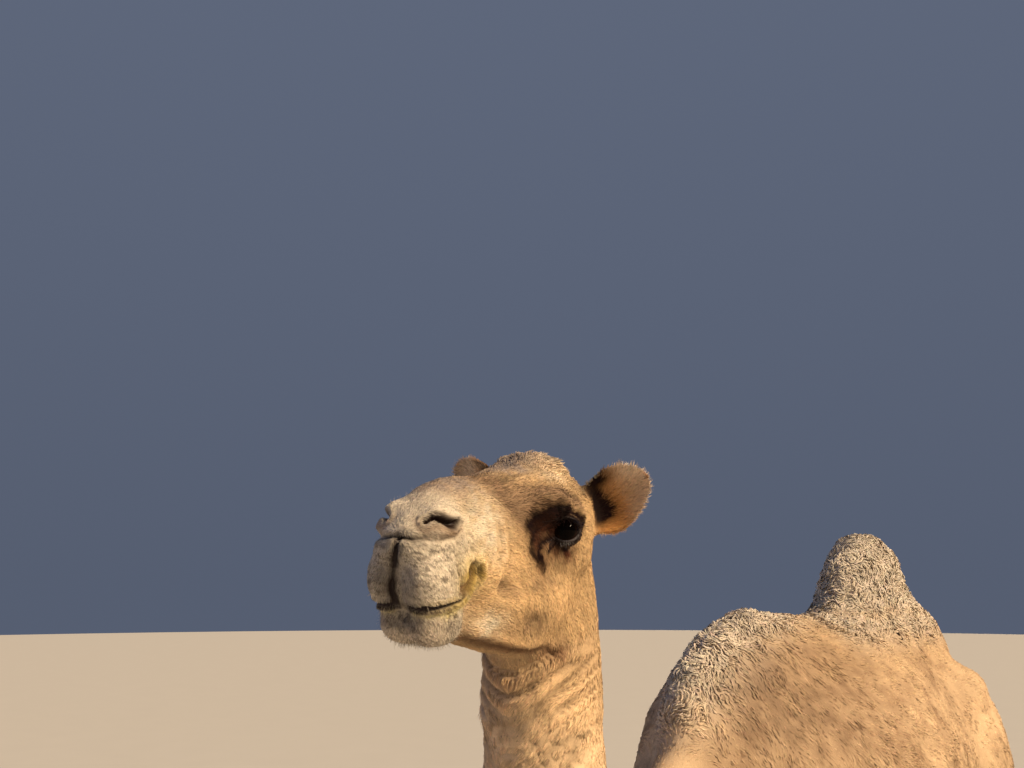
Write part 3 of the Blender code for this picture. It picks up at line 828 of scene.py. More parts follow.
def make_skin():
    """The whole skin: fused, split finer where it carries fine forms, laid inside the coat, and given its
    lids, lips, nostrils and folds."""
    body = fused("skin", [*FLESH, *NAILS], BODY_VOXEL, BODY_SMOOTHING)
    upper = fused("upper", ["head", *EARS, *EYES, "neck"], HEAD_VOXEL, HEAD_SMOOTHING)
    cut_level(body, NECK_SEAM - SEAM_BAND, keep_above=False)
    cut_level(upper, NECK_SEAM + SEAM_BAND, keep_above=True)
    whole = bridged("skin", upper, body)

    def on_neck(places):
        return (places[:, 1] < -0.3) & within(places[:, 2], 1.22, NECK_SEAM - 2 * SEAM_BAND)

    def on_withers(places):
        return (abs(places[:, 0]) < 0.17) & within(places[:, 1], -0.3, 0.06) & (places[:, 2] > 1.5)

    def on_lips(places):
        head = to_head(places)
        return (head[:, 0] > 16) & within(head[:, 2], -12.5, 2.4)

    def round_eyes(places):
        near = mirrored(to_head(places))
        return np.linalg.norm(near - (0.2, 8.8, 0), axis=1) < 3.7

    for chosen in (on_neck, on_withers, on_lips, round_eyes, round_eyes):
        refined(whole, chosen)
    skin = Skin(whole.data)
    shares = node_shares(skin.places, skin.links)
    inside_of(skin, zones_of(skin.places, skin.head, shares))
    trimmed_ears(skin, shares)
    skin.face = skin.head
    set_lids(skin)
    skin.rise(face_forms(skin.face, shares["head"]) + neck_forms(skin.places, shares))
    return whole, skin


# --------------------------------------------------------------------------------------------------
# The coat: which way it lies, its colours and its tufts


# Markings of the face: (colour, centre, half lengths, strength).
PATCHES = [
    ("cream", (18.5, 4.8, 0.3), (5.0, 3.6, 4.6), 1.1),  # side of the nose
    ("cream", (13.5, 4.5, -12.4), (3.2, 2.6, 1.7), 0.9),  # under the corner of the mouth
    ("crown", (20.5, 0.4, 5.4), (7.5, 3.6, 2.6), 1.30),  # bridge of the nose
    ("brow", (8.6, 5.0, 4.0), (4.6, 3.2, 2.9), 1.00),  # between the nose and the brow
    ("brow", (12.0, 1.0, 6.4), (4.5, 3.0, 2.0), 0.7),  # root of the nose
    ("brow", (2.8, 6.2, -12.6), (3.4, 2.8, 1.6), 0.65),  # hollow above the jaw
    ("brow", (8.5, 5.8, -13.2), (3.6, 2.4, 1.1), 0.40),
    ("brow", (12.3, 6.1, -7.6), (1.8, 2.0, 0.8), 0.55),  # painted shade in the dimple of the cheek
    ("brow", (10.1, 6.3, -8.4), (1.9, 2.0, 0.8), 0.50),
    ("brow", (4.2, 7.1, -7.4), (2.2, 2.0, 0.9), 0.55),  # smudges under the cheek bone
    ("brow", (0.4, 7.5, -6.8), (2.0, 2.0, 0.7), 0.35),
    ("brow", (26.0, 3.0, -12.0), (3.6, 4.0, 1.4), 0.30),  # chin
    ("brow", (26.4, 4.4, -0.8), (2.6, 1.4, 0.9), 0.55),  # flap under the nostril
    ("crown", (2.4, 0.0, 8.4), (4.8, 3.2, 2.4), 1.3),  # woolly front of the crown
    ("wool", (-5.0, 1.5, 10.6), (3.6, 3.2, 1.6), 0.6),  # top of the head
    ("cream", (-2.2, 4.9, 7.6), (3.8, 1.8, 2.2), 0.55),  # forehead
    ("umber", (4.2, 7.4, 0.9), (3.9, 3.0, 2.9), 1.10),  # soft brown all round the eye
    ("umber", (0.4, 8.4, -2.8), (3.4, 2.4, 1.3), 0.95),
    ("dark", (4.7, 7.4, 0.9), (2.5, 2.4, 2.2), 1.6),  # ahead of the eye
    ("dark", (-0.4, 8.7, -2.3), (2.6, 2.0, 0.6), 1.0),  # below the eye
    ("pale", (26.2, 2.0, -13.8), (4.2, 5.0, 1.5), 1.0),  # hairs under the chin
    ("mark", (29.4, 1.4, -7.0), (2.0, 2.0, 2.8), 0.40),  # beside the groove of the lip
    ("mark", (27.2, 0.8, -11.6), (1.8, 2.4, 1.0), 0.35),  # front of the chin
]

# Lines on the face: (colour, line, half width, strength).
STREAKS = [
    ("brow", [(12.0, 1.6, 6.0), (11.0, 4.2, 4.2), (8.9, 6.0, 1.9)], 2.3, 1.1),  # from the nose to the eye
    ("brow", [(10.2, 4.9, 4.2), (5.5, 6.9, 5.1), (2.0, 8.2, 5.3), (-4.2, 9.0, 4.2)], 1.6, 1.3),  # brow
    # Dark hair round the eye, deepened by a painted shadow under the edge of the brow.
    ("dark", [(6.6, 6.8, 0.8), (4.7, 7.9, 2.4), (1.5, 9.0, 2.8), (-1.4, 9.3, 2.5), (-4.0, 9.4, 1.2)],
     1.0, 1.6),
    ("umber", [(5.0, 7.1, -1.5), (4.8, 7.0, -3.4), (2.6, 7.1, -5.0)], 1.3, 0.75),  # stained by tears
    ("umber", [(4.6, 7.4, 0.2), (4.9, 7.2, -2.0)], 1.6, 0.4),
    ("dark", [(3.6, 7.6, -0.6), (4.3, 7.2, -1.8), (4.3, 7.0, -3.2), (3.2, 7.0, -4.3), (2.0, 7.1, -5.2)],
     0.50, 1.15),
    ("dark", [(5.4, 7.0, -0.2), (6.2, 6.9, -2.0), (5.7, 6.8, -3.1), (4.3, 6.9, -4.0)], 0.60, 1.00),  # tears
    ("straw", [(27.7, 1.0, -10.5), (27.0, 3.6, -10.5), (23.8, 4.9, -10.2), (20.5, 5.2, -9.4)],
     0.42, 0.9),  # lower lip
    ("straw", [(25.0, 5.0, -10.2), (22.0, 5.3, -9.7), (19.2, 5.2, -8.6), (17.6, 5.2, -7.0)], 0.8, 0.75),
    ("umber", [(17.0, 2.6, -14.3), (9.3, 3.1, -15.8), (0.8, 3.7, -17.0), (-5.1, 7.0, -16.8)],
     1.5, 0.8),  # painted shadow under the edge of the jaw
]

RELIEF_PAINTED_SHADE = 0.45  # painted shade: the coat is darker in hollows by this share for each centimetre of their depth, and lighter on swellings by the same share

# Bare pads that the animal rests on: (centre, half lengths) in metres, on both sides alike.
CALLUSES = [
    ((0.155, -0.10, 0.51), (0.05, 0.05, 0.07)),  # knee
    ((0, -0.02, 0.93), (0.09, 0.11, 0.045)),  # chest
    ((0.16, 0.10, 1.0), (0.05, 0.04, 0.05)),  # elbow
]

EAR_ROOT = (-11.5, 8.0, 1.9)
EAR_ALONG = (-0.15, 0.74, 0.65)
EAR_OPENS = (0.88, 0.42, -0.10)
EAR_HALF_LENGTH = 6.2
EAR_HALF_WIDTH = 4.6
EAR_MIDDLE = 4.46  # from the ear's root to the middle of its leaf
EAR_SHORTENS = 0.06
EAR_NARROWS = 0.25  # the lower half of the ear is this much narrower near its tip
EAR_RIM_SHIFT = 0.55  # the rim stands this far ahead of the leaf's middle plane


def ear_measures(head, sign):
    """How far along the ear each point is, how far towards its upper edge, and the ear's own directions."""
    mirror = np.array((1, sign, 1))
    along = unit(np.array(EAR_ALONG) * mirror)
    opens = np.array(EAR_OPENS) * mirror
    opens = unit(opens - along * (opens @ along))
    edge = np.cross(along, opens) * sign
    edge = edge * np.sign(edge[2])
    middle = np.array(EAR_ROOT) * mirror + along * EAR_MIDDLE
    away = head - middle
    return {"along": along, "opens": opens, "edge": edge, "middle": middle, "length": away @ along,
            "height": away @ edge}


def lies_of(skin, zones, shares):
    """The way that the hair lies at each vertex."""
    head = skin.head
    forward, across, up = head.T
    out = np.tanh(across / 2.5)
    flank = ramp(-forward, -16, 3) * ramp(-up, -4, 4)
    lips = zones["muzzle"] * ramp(-up, 0.3, 2.5)
    brow = zones["brow"]
    face = vectors(-1 + 0.6 * flank + 0.5 * lips, 0.15 * out + 0.6 * out * lips + 0.5 * out * brow,
                   -0.1 - 0.9 * flank - 0.8 * lips + 0.35 * brow)
    lies = turned_from_head(unit(face)) * shares["head"][:, None]
    for side, sign in SIDES.items():
        ear = ear_measures(head, sign)
        fan = unit(ear["along"] + 0.12 * ear["height"][:, None] * ear["edge"])
        lies += turned_from_head(fan) * shares["ear_" + side][:, None]
    _, along = from_path(skin.places, NECK_LINE)
    steps = unit(np.diff(NECK_LINE, axis=0))
    which = np.clip((along * len(steps)).astype(int), 0, len(steps) - 1)
    lies += (steps[which] + (0, 0, -0.12)) * shares["neck"][:, None]
    swept = shares["neck"] * ramp(up, -46, -28) * ramp(forward, -14, -9)
    lies += 2.0 * swept[:, None] * turned_from_head(vectors(0.3, -out, -THROAT_SLANT))
    x, y, z = skin.places.T
    shoulder = ramp(-y, -0.25, 0.0)
    down = -0.25 - 0.6 * np.maximum(ramp(-z, -1.6, -1.2), 1.1 * shoulder)
    lies += vectors(0.4 * x * shoulder, 0.85 - 0.4 * shoulder, down) * shares["trunk"][:, None]
    for share, way in ((shares["hump"], (0, 0.9, -0.3)), (zones["legs"], (0, 0.25, -1)),
                       (shares["tail"], (0, 0.10, -1))):
        lies += np.array(way) * share[:, None]
    return laid_along(relaxed(unit(lies), skin.links, 14), skin.normals)


def tones_of(places, head, normals, zones, coat):
    """The coat's colour at each place, before each tuft's own small change. It holds painted shade in the
    hollows, grooves and ears of the head, under the jaw and in the throat's folds, and painted light on the
    swellings.
    """
    forward, across, up = head.T
    near = mirrored(head)
    x, y, z = places.T
    tone = np.tile(np.array(coat.gold), (len(places), 1))

    def tint(colour, share):
        tone[:] += np.clip(share, 0, 1)[:, None] * (np.array(getattr(coat, colour)) - tone)

    on_head = np.clip(zones["head"] + zones["ears"], 0, 1)
    rough = noise(places, 0.035, 31)
    fine = noise(places, 0.009, 32)
    mottle = noise(places, 0.015, 55)
    broad = noise(places, 0.16, 38) + 0.6 * noise(places, 0.06, 39)
    tint("sand", 1 - np.maximum(on_head * ramp(up, -18.5, -14.5), 0.7 * ramp(up, -36, -18)))
    brown = (1 - on_head) * (1 - zones["throat"]) * (0.45 + 0.22 * rough + 0.25 * broad + 0.20 * mottle)
    folded = vectors(abs(x), y, z)
    saddle = 0.75 * blob(folded, (0.20, 0.05, 1.54), (0.30, 0.35, 0.22)) * (1 + 0.4 * mottle)
    tint("shoulder", np.maximum(brown, saddle))
    tint("brow", blob(folded, (0.12, -0.10, 1.55), (0.11, 0.12, 0.13)) * (0.62 + 0.3 * rough + 0.3 * mottle))
    tint("shoulder", zones["throat"] * ramp(up, -27, -17) * 0.3)
    tint("pale", zones["belly"] * 0.8 + zones["legs"] * ramp(-z, -0.95, -0.35) * 0.55)
    tint("wool", zones["wool"] * (0.95 + 0.25 * fine))
    pads = [blob(folded, centre, sizes) for centre, sizes in CALLUSES]
    tint("callus", 1.3 * np.max(pads, axis=0))
    tint("switch", zones["tail_end"])

    tint("muzzle", zones["muzzle"])
    loose = near + 0.30 * vectors(*[noise(head, 0.7, seed) for seed in (35, 36, 37)])
    for colour, centre, sizes, strength in PATCHES:
        tint(colour, on_head * strength * blob(loose, centre, sizes) * (1 + 0.6 * fine))
    for colour, line, width, strength in STREAKS:
        tint(colour, on_head * strength * stripe(loose, line, width))
    crown = zones["crown"] * (1 - 0.85 * blob(near, (-4.0, 5.2, 7.4), (5.5, 2.8, 3.0)))
    tint("crown", 0.7 * crown * (0.85 + 0.5 * rough))

    nostril, _ = from_path(near, NOSTRIL)
    fold, along_fold = from_path(near, NOSTRIL_FOLD)
    tint("brow", zones["muzzle"] * 0.6 * bump(nostril - 1.1, 0.55) * ramp(-up, -1.2, 0.6))
    # Dark bare skin in the nostril, with painted shade deep in its slit.
    gap = nostril_gap(near)
    tint("mark", 1.8 * bump(gap, 1.25))
    tint("dark", 1.8 * bump(gap, 1.05))
    # Painted shade in the fold under the nostril and in the groove of the upper lip, over their bare dark
    # skin.
    tint("mark", (1.4 - 1.3 * ramp(along_fold, 0.05, 0.45)) * bump(fold, 0.36))
    tint("mark", 1.6 * stripe(head, PHILTRUM, 0.50))
    lip = zones["muzzle"] * ramp(-up, 1.2, 3.0)
    tint("mark", 0.65 * lip * ramp(lip_wrinkles(head), 0.76, 0.97) * ramp(noise(head, 1.5, 33), -0.8, 0.4))
    flecks = ramp(noise(head * (0.6, 1, 0.6), 0.22, 50), 0.15, 0.5) * ramp(noise(head, 1.3, 53), -0.3, 0.5)
    tint("mark", 0.45 * lip * flecks)
    smear, along = from_path(loose, MOUTH)
    stained = bump(smear, 0.95) * ramp(along, 0.05, 0.45) * (1.0 + 0.5 * noise(head, 0.8, 34))
    stained = np.maximum(stained, 1.3 * blob(loose, (20.9, 5.5, -6.4), (3.0, 2.4, 2.7)))
    tint("stain", zones["head"] * 0.9 * np.minimum(stained, 1))
    tint("straw", 0.35 * on_head * stripe(loose, POCKET_RIM, 0.45))
    # Painted shade along the line of the mouth, wider at its front, over the dark bare skin of the lips.
    lips, along = from_path(near, MOUTH)
    tint("mark", 1.9 * bump(lips, 0.34 + 0.24 * ramp(-along, -0.5, -0.1)))
    # Painted shade in the pocket at the corner of the mouth.
    tint("umber", 0.40 * stripe(near, MOUTH_POCKET, 1.15) + 0.50 * stripe(near, MOUTH_POCKET, 0.50))
    tint("dark", 1.1 * ramp(-lid_edges(head), -0.85, -0.35) * on_head)

    for sign in SIDES.values():
        ear = ear_measures(head, sign)
        length, height = ear["length"], ear["height"]
        own = zones["ears"] * (across * sign > 0)
        inside = own * ramp(normals @ turned_from_head(ear["opens"]), -0.1, 0.4)
        tint("ear", own * (0.75 + 0.15 * inside) * (1 + 0.4 * rough))
        tint("pale", inside * 0.8 * ramp(length, -0.5, 4.5) * (1 + 0.5 * rough))
        tint("pale", inside * 0.6 * ramp(-height, 0.5, 4.0) * ramp(length, -2.0, 2.0))
        # Painted shade deep in the root of the ear's cup, and along its upper edge near the root.
        tint("dark", own * 1.5 * ramp(-length, -0.4, 2.8) * ramp(height, -3.0, -0.2) * (1 + 0.4 * rough))
        tint("dark", own * ramp(height, 1.6, 3.4) * ramp(-length, -3.0, 0.5))
    # Painted shade in the hollows of the face and the folds of the throat, and painted light on the swellings
    # and on the crests of the folds.
    painted_relief = on_head * np.clip(relief(near), -0.8, 0.4) + (1 - on_head) * throat_folds(head)
    return np.clip(tone * (1 + 0.09 * rough + 0.05 * fine + RELIEF_PAINTED_SHADE * painted_relief)[:, None], 0, 1)


Hair = namedtuple("Hair", "length width height curl")  # centimetres
LOCK_SIZE = 0.035  # tufts curl alike over about this distance
TUFT_RISE = 2.2  # a tuft reaches its height after this part of one over its length
TUFT_DROOP = 0.65  # and its tip ends lower by this share
CURL_DROOP = 0.7  # and by this much more for each centimetre of curl
TUFT_SUNK = 0.0006  # metres under the skin
TUFT_LENGTHS = (0.7, 1.2)  # each tuft's own length and height are drawn between these shares of its zone's
TUFT_HEIGHTS = (0.55, 1.05)
TUFT_ROLL = 0.22  # tufts lean to their sides by about this angle, and curly ones by this much more
WOOL_ROLL = 0.2
TIP_SHADE = 1.12  # how light the tips are painted; the next two give by how much single tufts differ in light and in colour
TUFT_CONTRAST = 0.07
TUFT_TINT = 0.02


def hairs_of(zones, coat):
    """The tufts' sizes at each vertex, in centimetres."""
    lengths = {name: zone.share * (getattr(coat, zone.hair + "_length") / CM) for name, zone in ZONES.items()}
    sizes = [from_zones(zones, measure) for measure in ("width", "depth", "curl")]
    return Hair(blended(zones, lengths), *sizes)


class Roots:
    """Where tufts grow: places, ways out, ways they lie, places on the face, sizes, zones and places on the
    unwrap."""

    def __init__(self, places, normals, lies, face, hair, zones, marks):
        self.places, self.normals, self.lies, self.face = places, normals, lies, face
        self.hair, self.zones, self.marks = hair, zones, marks


def tuft_mesh(name, roots, tones, rows, chance, ridge=0.0, root_shade=0.6):
    """Thin tufts that rise from the skin and lie along it. With a ridge each is three vertices wide."""
    count = len(roots.places)
    length, width, height, curl = (values * CM for values in roots.hair)
    length = length * chance.uniform(*TUFT_LENGTHS, count)
    height = height * chance.uniform(*TUFT_HEIGHTS, count)
    across = unit(np.cross(roots.lies, roots.normals))
    roll = chance.normal(0, TUFT_ROLL + WOOL_ROLL * roots.zones["wool"], count)[:, None]
    side = across * np.cos(roll) + roots.normals * np.sin(roll)
    over = roots.normals * np.cos(roll) - across * np.sin(roll)
    phase = math.pi * noise(roots.places, LOCK_SIZE, 44) + chance.normal(0, 0.5, count)
    waves = 1 + 0.3 * noise(roots.places, LOCK_SIZE, 45)
    droop = TUFT_DROOP + CURL_DROOP * curl / CM
    # With a ridge, the raised middle column is painted lighter as a highlight, and the two side columns
    # darker as shade.
    columns = [(-1, 0, 0.92), (0, ridge, 1.08), (1, 0, 0.92)] if ridge else [(-1, 0, 1), (1, 0, 1)]
    points, shades = [], []
    for row in range(rows + 1):
        share = row / rows
        turn = phase + 2 * math.pi * waves * share
        swing = curl * share**0.5
        reach = length * share * (1 - 0.35 * np.clip(curl / np.maximum(length, 1e-6), 0, 1))
        risen = 1 - (1 - min(1, TUFT_RISE * share)) ** 2
        lift = height * (risen - droop * share**2) - TUFT_SUNK
        centre = roots.places + roots.lies * reach[:, None] + roots.normals * lift[:, None]
        centre += across * (swing * (np.sin(turn) - np.sin(phase)))[:, None]
        centre += roots.normals * (0.5 * swing * (np.cos(turn) - np.cos(phase)))[:, None]
        # Painted shade at each tuft's root, rising to painted light at its tip.
        shade = root_shade + (TIP_SHADE - root_shade) * share**0.7
        if row == rows:
            points.append(centre)
            shades.append(np.full(count, shade))
            break
        half = 0.5 * width * (0.75 + 0.5 * math.sin(math.pi * min(1, share + 0.25)))
        for place, rise, light in columns:
            points.append(centre + side * (place * half)[:, None] + over * (rise * width)[:, None])
            shades.append(np.full(count, shade * light))
    wide = len(columns)
    corners = []
    for low in [row * wide + column for row in range(rows - 1) for column in range(wide - 1)]:
        corners += [(low, low + 1, low + wide + 1), (low, low + wide + 1, low + wide)]
    last = (rows - 1) * wide
    corners += [(last + column, last + column + 1, last + wide) for column in range(wide - 1)]
    triangles = (np.arange(count)[:, None, None] * (rows * wide + 1) + np.array(corners)[None]).reshape(-1, 3)
    places = np.stack(points, axis=1).reshape(-1, 3)
    shade = np.stack(shades, axis=1)[:, :, None]
    own = 1 + TUFT_CONTRAST * chance.normal(0, 1, (count, 1, 1))
    own = own + TUFT_TINT * chance.normal(0, 1, (count, 1, 3))
    colours = np.clip(tones[:, None, :] * shade * own, 0.002, 1).reshape(-1, 3)
    return mesh_object(name, places, triangles, colours, marks_for(roots.marks, rows, wide))


BAKE_PATCH = 0.003  # width of each tuft's own patch on the skin's unwrap


def marks_for(marks, rows, wide):
    """Each tuft's vertices spread over a small patch at its root's place on the unwrap."""
    spread = [(column / (wide - 1) * 2 - 1, row / rows * 2 - 1)
              for row in range(rows) for column in range(wide)]
    spread.append((0, 1))
    return (marks[:, None, :] + np.array(spread)[None] * BAKE_PATCH / 2).reshape(-1, 2)


def mesh_object(name, places, triangles, colours, marks):
    """A new piece from its triangles, with a colour and a place on the unwrap for each vertex."""
    data = bpy.data.meshes.new(name)
    data.vertices.add(len(places))
    data.vertices.foreach_set("co", places.astype(np.float32).ravel())
    data.loops.add(triangles.size)
    data.loops.foreach_set("vertex_index", triangles.astype(np.int32).ravel())
    data.polygons.add(len(triangles))
    data.polygons.foreach_set("loop_start", np.arange(0, triangles.size, 3, dtype=np.int32))
    data.polygons.foreach_set("use_smooth", np.ones(len(triangles), bool))
    data.update(calc_edges=True)
    unwrap = data.uv_layers.new(name="OFBake")
    unwrap.uv.foreach_set("vector", marks[triangles.ravel()].astype(np.float32).ravel())
    write_tones(data, colours, "BYTE_COLOR")
    return linked(name, data)


ZONE_FIELD = "zone_"  # starts the names of the fields that keep the zones


class Ground:
    """The finished skin as triangles that tufts can be rooted on."""

    def __init__(self, skin_object, coat):
        mesh = skin_object.data
        mesh.calc_loop_triangles()
        self.corners = read_all(mesh.loop_triangles, "vertices", 3, np.int32)
        self.areas = read_all(mesh.loop_triangles, "area")
        loops = read_all(mesh.loop_triangles, "loops", 3, np.int32)
        self.marks = read_all(mesh.uv_layers["OFBake"].uv, "vector", 2)[loops]
        self.places, self.normals = places_of(mesh), normals_of(mesh)
        self.lies = read_field(mesh, "Lie", 3)
        self.face = read_field(mesh, "Face", 3)
        fields = [name for name in mesh.attributes.keys() if name.startswith(ZONE_FIELD)]
        self.zones = {name.removeprefix(ZONE_FIELD): read_field(mesh, name) for name in fields}
        self.owner = read_field(mesh, "owner").round().astype(int)[self.corners[:, 0]]
        self.hair = hairs_of(self.zones, coat)
        self.tree = BVHTree.FromPolygons(self.places.tolist(), self.corners.tolist())
        self.middle = self.places[self.corners].mean(axis=1)

    def at(self, triangles, shares):
        """Roots at those triangles, at those shares of their three corners."""
        corners = self.corners[triangles]

        def drawn(values):
            values = values[corners]
            return (values * (shares[:, :, None] if values.ndim == 3 else shares)).sum(axis=1)

        normals = unit(drawn(self.normals))
        lies = laid_along(drawn(self.lies), normals)
        hair = Hair(*[drawn(size) for size in self.hair])
        zones = {name: drawn(zone) for name, zone in self.zones.items()}
        marks = (self.marks[triangles] * shares[:, :, None]).sum(axis=1)
        return Roots(drawn(self.places), normals, lies, drawn(self.face), hair, zones, marks)

    def scattered(self, chosen, cover, most, chance):
        """Roots spread over the chosen triangles, close enough that the tufts lie cover deep."""
        size = (self.hair.length * self.hair.width * CM * CM)[self.corners].mean(axis=1)
        bare = self.zones["bare"][self.corners].max(axis=1)
        wanted = self.areas / size * chosen * (bare < 0.5)
        count = int(min(wanted.sum() * cover, most))
        steps = (np.arange(count) + chance.uniform(0, 1, count)) / count * wanted.sum()
        triangles = np.minimum(np.searchsorted(np.cumsum(wanted), steps), len(wanted) - 1)
        shares = chance.dirichlet((1, 1, 1), count)
        return self.at(triangles, shares)

    def nearest(self, places):
        """Roots at the skin's nearest places to these."""
        triangles = np.array([self.tree.find_nearest(place)[2] for place in places])
        return self.at(triangles, np.full((len(places), 3), 1 / 3))


def ruffled(roots):
    """Turns the tufts a little from the lie, alike within each lock, and lifts some locks over others.
    Returns how light each lock is."""
    wool = roots.zones["wool"]
    calm = 1 - 0.6 * roots.zones["head"]
    turn = 0.50 * noise(roots.places, 0.032, 41) + 0.30 * noise(roots.places, 0.013, 42)
    turn = turn * calm + wool * math.pi * noise(roots.places, 0.026, 47)
    across = np.cross(roots.normals, roots.lies)
    roots.lies = unit(roots.lies * np.cos(turn)[:, None] + across * np.sin(turn)[:, None])
    locks = streaks(roots.places, roots.lies, 0.007, 0.030, 43)
    lumps = noise(roots.places, 0.034, 48) + 0.6 * noise(roots.places, 0.016, 49)
    locks = locks * (1 - 0.6 * wool) + 1.3 * lumps * wool
    roots.hair = roots.hair._replace(height=roots.hair.height * np.clip(1 + 0.4 * locks, 0.3, 1.3))
    return locks


DARK_HAIR = 0.6  # single dark hairs have this share of the light of the others


def grizzled(tones, roots, locks, chance):
    """The tufts' colours with light and dark locks, and with single dark hairs among them."""
    zones = roots.zones
    strands = streaks(roots.places, roots.lies, 0.0035, 0.016, 46)
    bristles = streaks(roots.places, roots.lies, 0.0015, 0.008, 54)
    level = 1 + from_zones(zones, "contrast") * (locks + 0.6 * strands) + 0.28 * zones["muzzle"] * bristles
    dark = chance.uniform(0, 1, len(tones)) < from_zones(zones, "dark")
    level = np.where(dark, DARK_HAIR * level, level)
    return np.clip(tones * level[:, None], 0.003, 1)


# Each piece of the coat: the solids whose skin it grows from, the side of the animal (0 is both) and how far
# to the left of the middle that side begins in metres, whether it is the curly wool there or the rest, the
# rows along each tuft, how many tufts lie over each other, and the most triangles. The neck bends to the
# left, and its two pieces share a band there. On the trunk's left the flank alone has a piece of its own.
CoatPiece = namedtuple("CoatPiece", "nodes side border woolly rows cover most")
COAT_PIECES = {
    "coat_head_left": CoatPiece(["head"], 1, 0, False, 2, 3.4, 186000),
    "coat_head_right": CoatPiece(["head"], -1, 0, False, 2, 3.4, 186000),
    "coat_ears": CoatPiece(EARS, 0, 0, False, 2, 3.6, 60000),
    "coat_neck_left": CoatPiece(["neck"], 1, 0.11, False, 2, 3.4, 145000),
    "coat_neck_right": CoatPiece(["neck"], -1, 0.22, False, 2, 3.4, 120000),
    "coat_trunk_left": CoatPiece(["trunk"], 1, 0.22, False, 2, 3.0, 165000),
    "coat_trunk_right": CoatPiece(["trunk"], -1, 0.22, False, 2, 3.0, 155000),
    "coat_wool": CoatPiece(["neck", "trunk", "hump"], 0, 0, True, 6, 6.0, 190000),
    "coat_fore_legs": CoatPiece([leg for leg in LEGS if leg.startswith("fore")], 0, 0, False, 2, 2.4, 100000),
    "coat_hind_legs": CoatPiece([leg for leg in LEGS if leg.startswith("hind")], 0, 0, False, 2, 2.4, 140000),
    "coat_tail": CoatPiece(["tail"], 0, 0, False, 4, 3.0, 50000),
}
COAT_ROOT_SHADE = 0.88  # painted shade: how light the tufts are at their roots


def grow_piece(name, piece, ground, coat, chance):
    """One piece of the coat, on the triangles of the skin that are its own."""
    chosen = np.isin(ground.owner, [FLESH.index(node_name) for node_name in piece.nodes]).astype(float)
    if piece.side:
        across = to_head(ground.middle)[:, 1] if piece.nodes == ["head"] else ground.middle[:, 0]
        chosen *= (across - piece.border) * piece.side > 0
    wool = ramp(ground.zones["wool"][ground.corners].mean(axis=1), 0.25, 0.75)
    chosen *= wool if piece.woolly else 1 - wool
    cover = piece.cover * 1
    most = piece.most // (2 * piece.rows - 1)
    roots = ground.scattered(chosen, cover, most, chance)
    locks = ruffled(roots)
    tones = tones_of(roots.places, roots.face, roots.normals, roots.zones, coat)
    tones = grizzled(tones, roots, locks, chance)
    return tuft_mesh(name, roots, tones, piece.rows, chance, root_shade=COAT_ROOT_SHADE)


# --------------------------------------------------------------------------------------------------
# Materials


def node(tree, kind, inputs=None, **settings):
    """Adds a node with its settings, and fills its inputs with values or with other nodes' outputs."""
    made = tree.nodes.new(kind)
    for key, value in settings.items():
        setattr(made, key, value)
    for key, value in (inputs or {}).items():
        if isinstance(value, bpy.types.NodeSocket):
            tree.links.new(value, made.inputs[key])
        else:
            made.inputs[key].default_value = value
    return made


def new_material(name):
    made = bpy.data.materials.new(name)
    made.use_nodes = True
    made.node_tree.nodes.clear()
    return made, made.node_tree


def per_metre(millimetres):
    """The scale of a texture whose features are that many millimetres across."""
    return 1000 / millimetres


def finish_surface(tree, colour, roughness, height, bump_mm, strength, **constants):
    """A Principled surface with a bump, on the material's output."""
    bumps = {"Height": height, "Strength": strength, "Distance": bump_mm / 1000}
    bumps = node(tree, "ShaderNodeBump", bumps).outputs["Normal"]
    inputs = {"Base Color": colour, "Roughness": roughness, "Normal": bumps}
    shader = node(tree, "ShaderNodeBsdfPrincipled", inputs)
    for socket, value in constants.items():
        shader.inputs[socket.replace("_", " ")].default_value = value
    node(tree, "ShaderNodeOutputMaterial", {"Surface": shader.outputs["BSDF"]})


def piece_space(tree):
    return node(tree, "ShaderNodeTexCoord").outputs["Object"]


def grain(tree, millimetres, detail):
    """A noise from 0 to 1 whose grains are that many millimetres across."""
    settings = {"Vector": piece_space(tree), "Scale": per_metre(millimetres), "Detail": detail}
    return node(tree, "ShaderNodeTexNoise", settings).outputs["Fac"]


def between(tree, value, low, high):
    """A value from 0 to 1 spread from low to high."""
    settings = {"Value": value, "To Min": low, "To Max": high}
    return node(tree, "ShaderNodeMapRange", settings).outputs["Result"]


def mixed(tree, share, first, second):
    """A colour from the first one to the second, as the share goes from 0 to 1."""
    settings = {0: share, 6: (*first, 1), 7: (*second, 1)}
    return node(tree, "ShaderNodeMix", settings, data_type="RGBA").outputs[2]


def lightened(colour, times, more=0.0):
    return [min(1, value * times + more) for value in colour]


def shaded_tone(tree, share, low, high):
    """The vertices' own colour, times low to high as the share goes from 0 to 1."""
    tone = node(tree, "ShaderNodeAttribute", attribute_name="Tone").outputs["Color"]
    parts = {0: tone, 1: between(tree, share, low, high)}
    return node(tree, "ShaderNodeVectorMath", parts, operation="MULTIPLY").outputs["Vector"]


def hair_material():
    """Camel hair: a soft dull fibre. Its sheen lights the coat's edges, and fine strands break each tuft."""
    made, tree = new_material("camel_hair")
    strands = grain(tree, 1.6, 2.0)
    rough = between(tree, grain(tree, 14, 2.0), 0.5, 0.75)
    finish_surface(tree, shaded_tone(tree, strands, 0.72, 1.28), rough, strands, bump_mm=0.4, strength=0.35,
                   Sheen_Weight=0.02, Sheen_Roughness=0.45, Specular_IOR_Level=0.08)
    return made


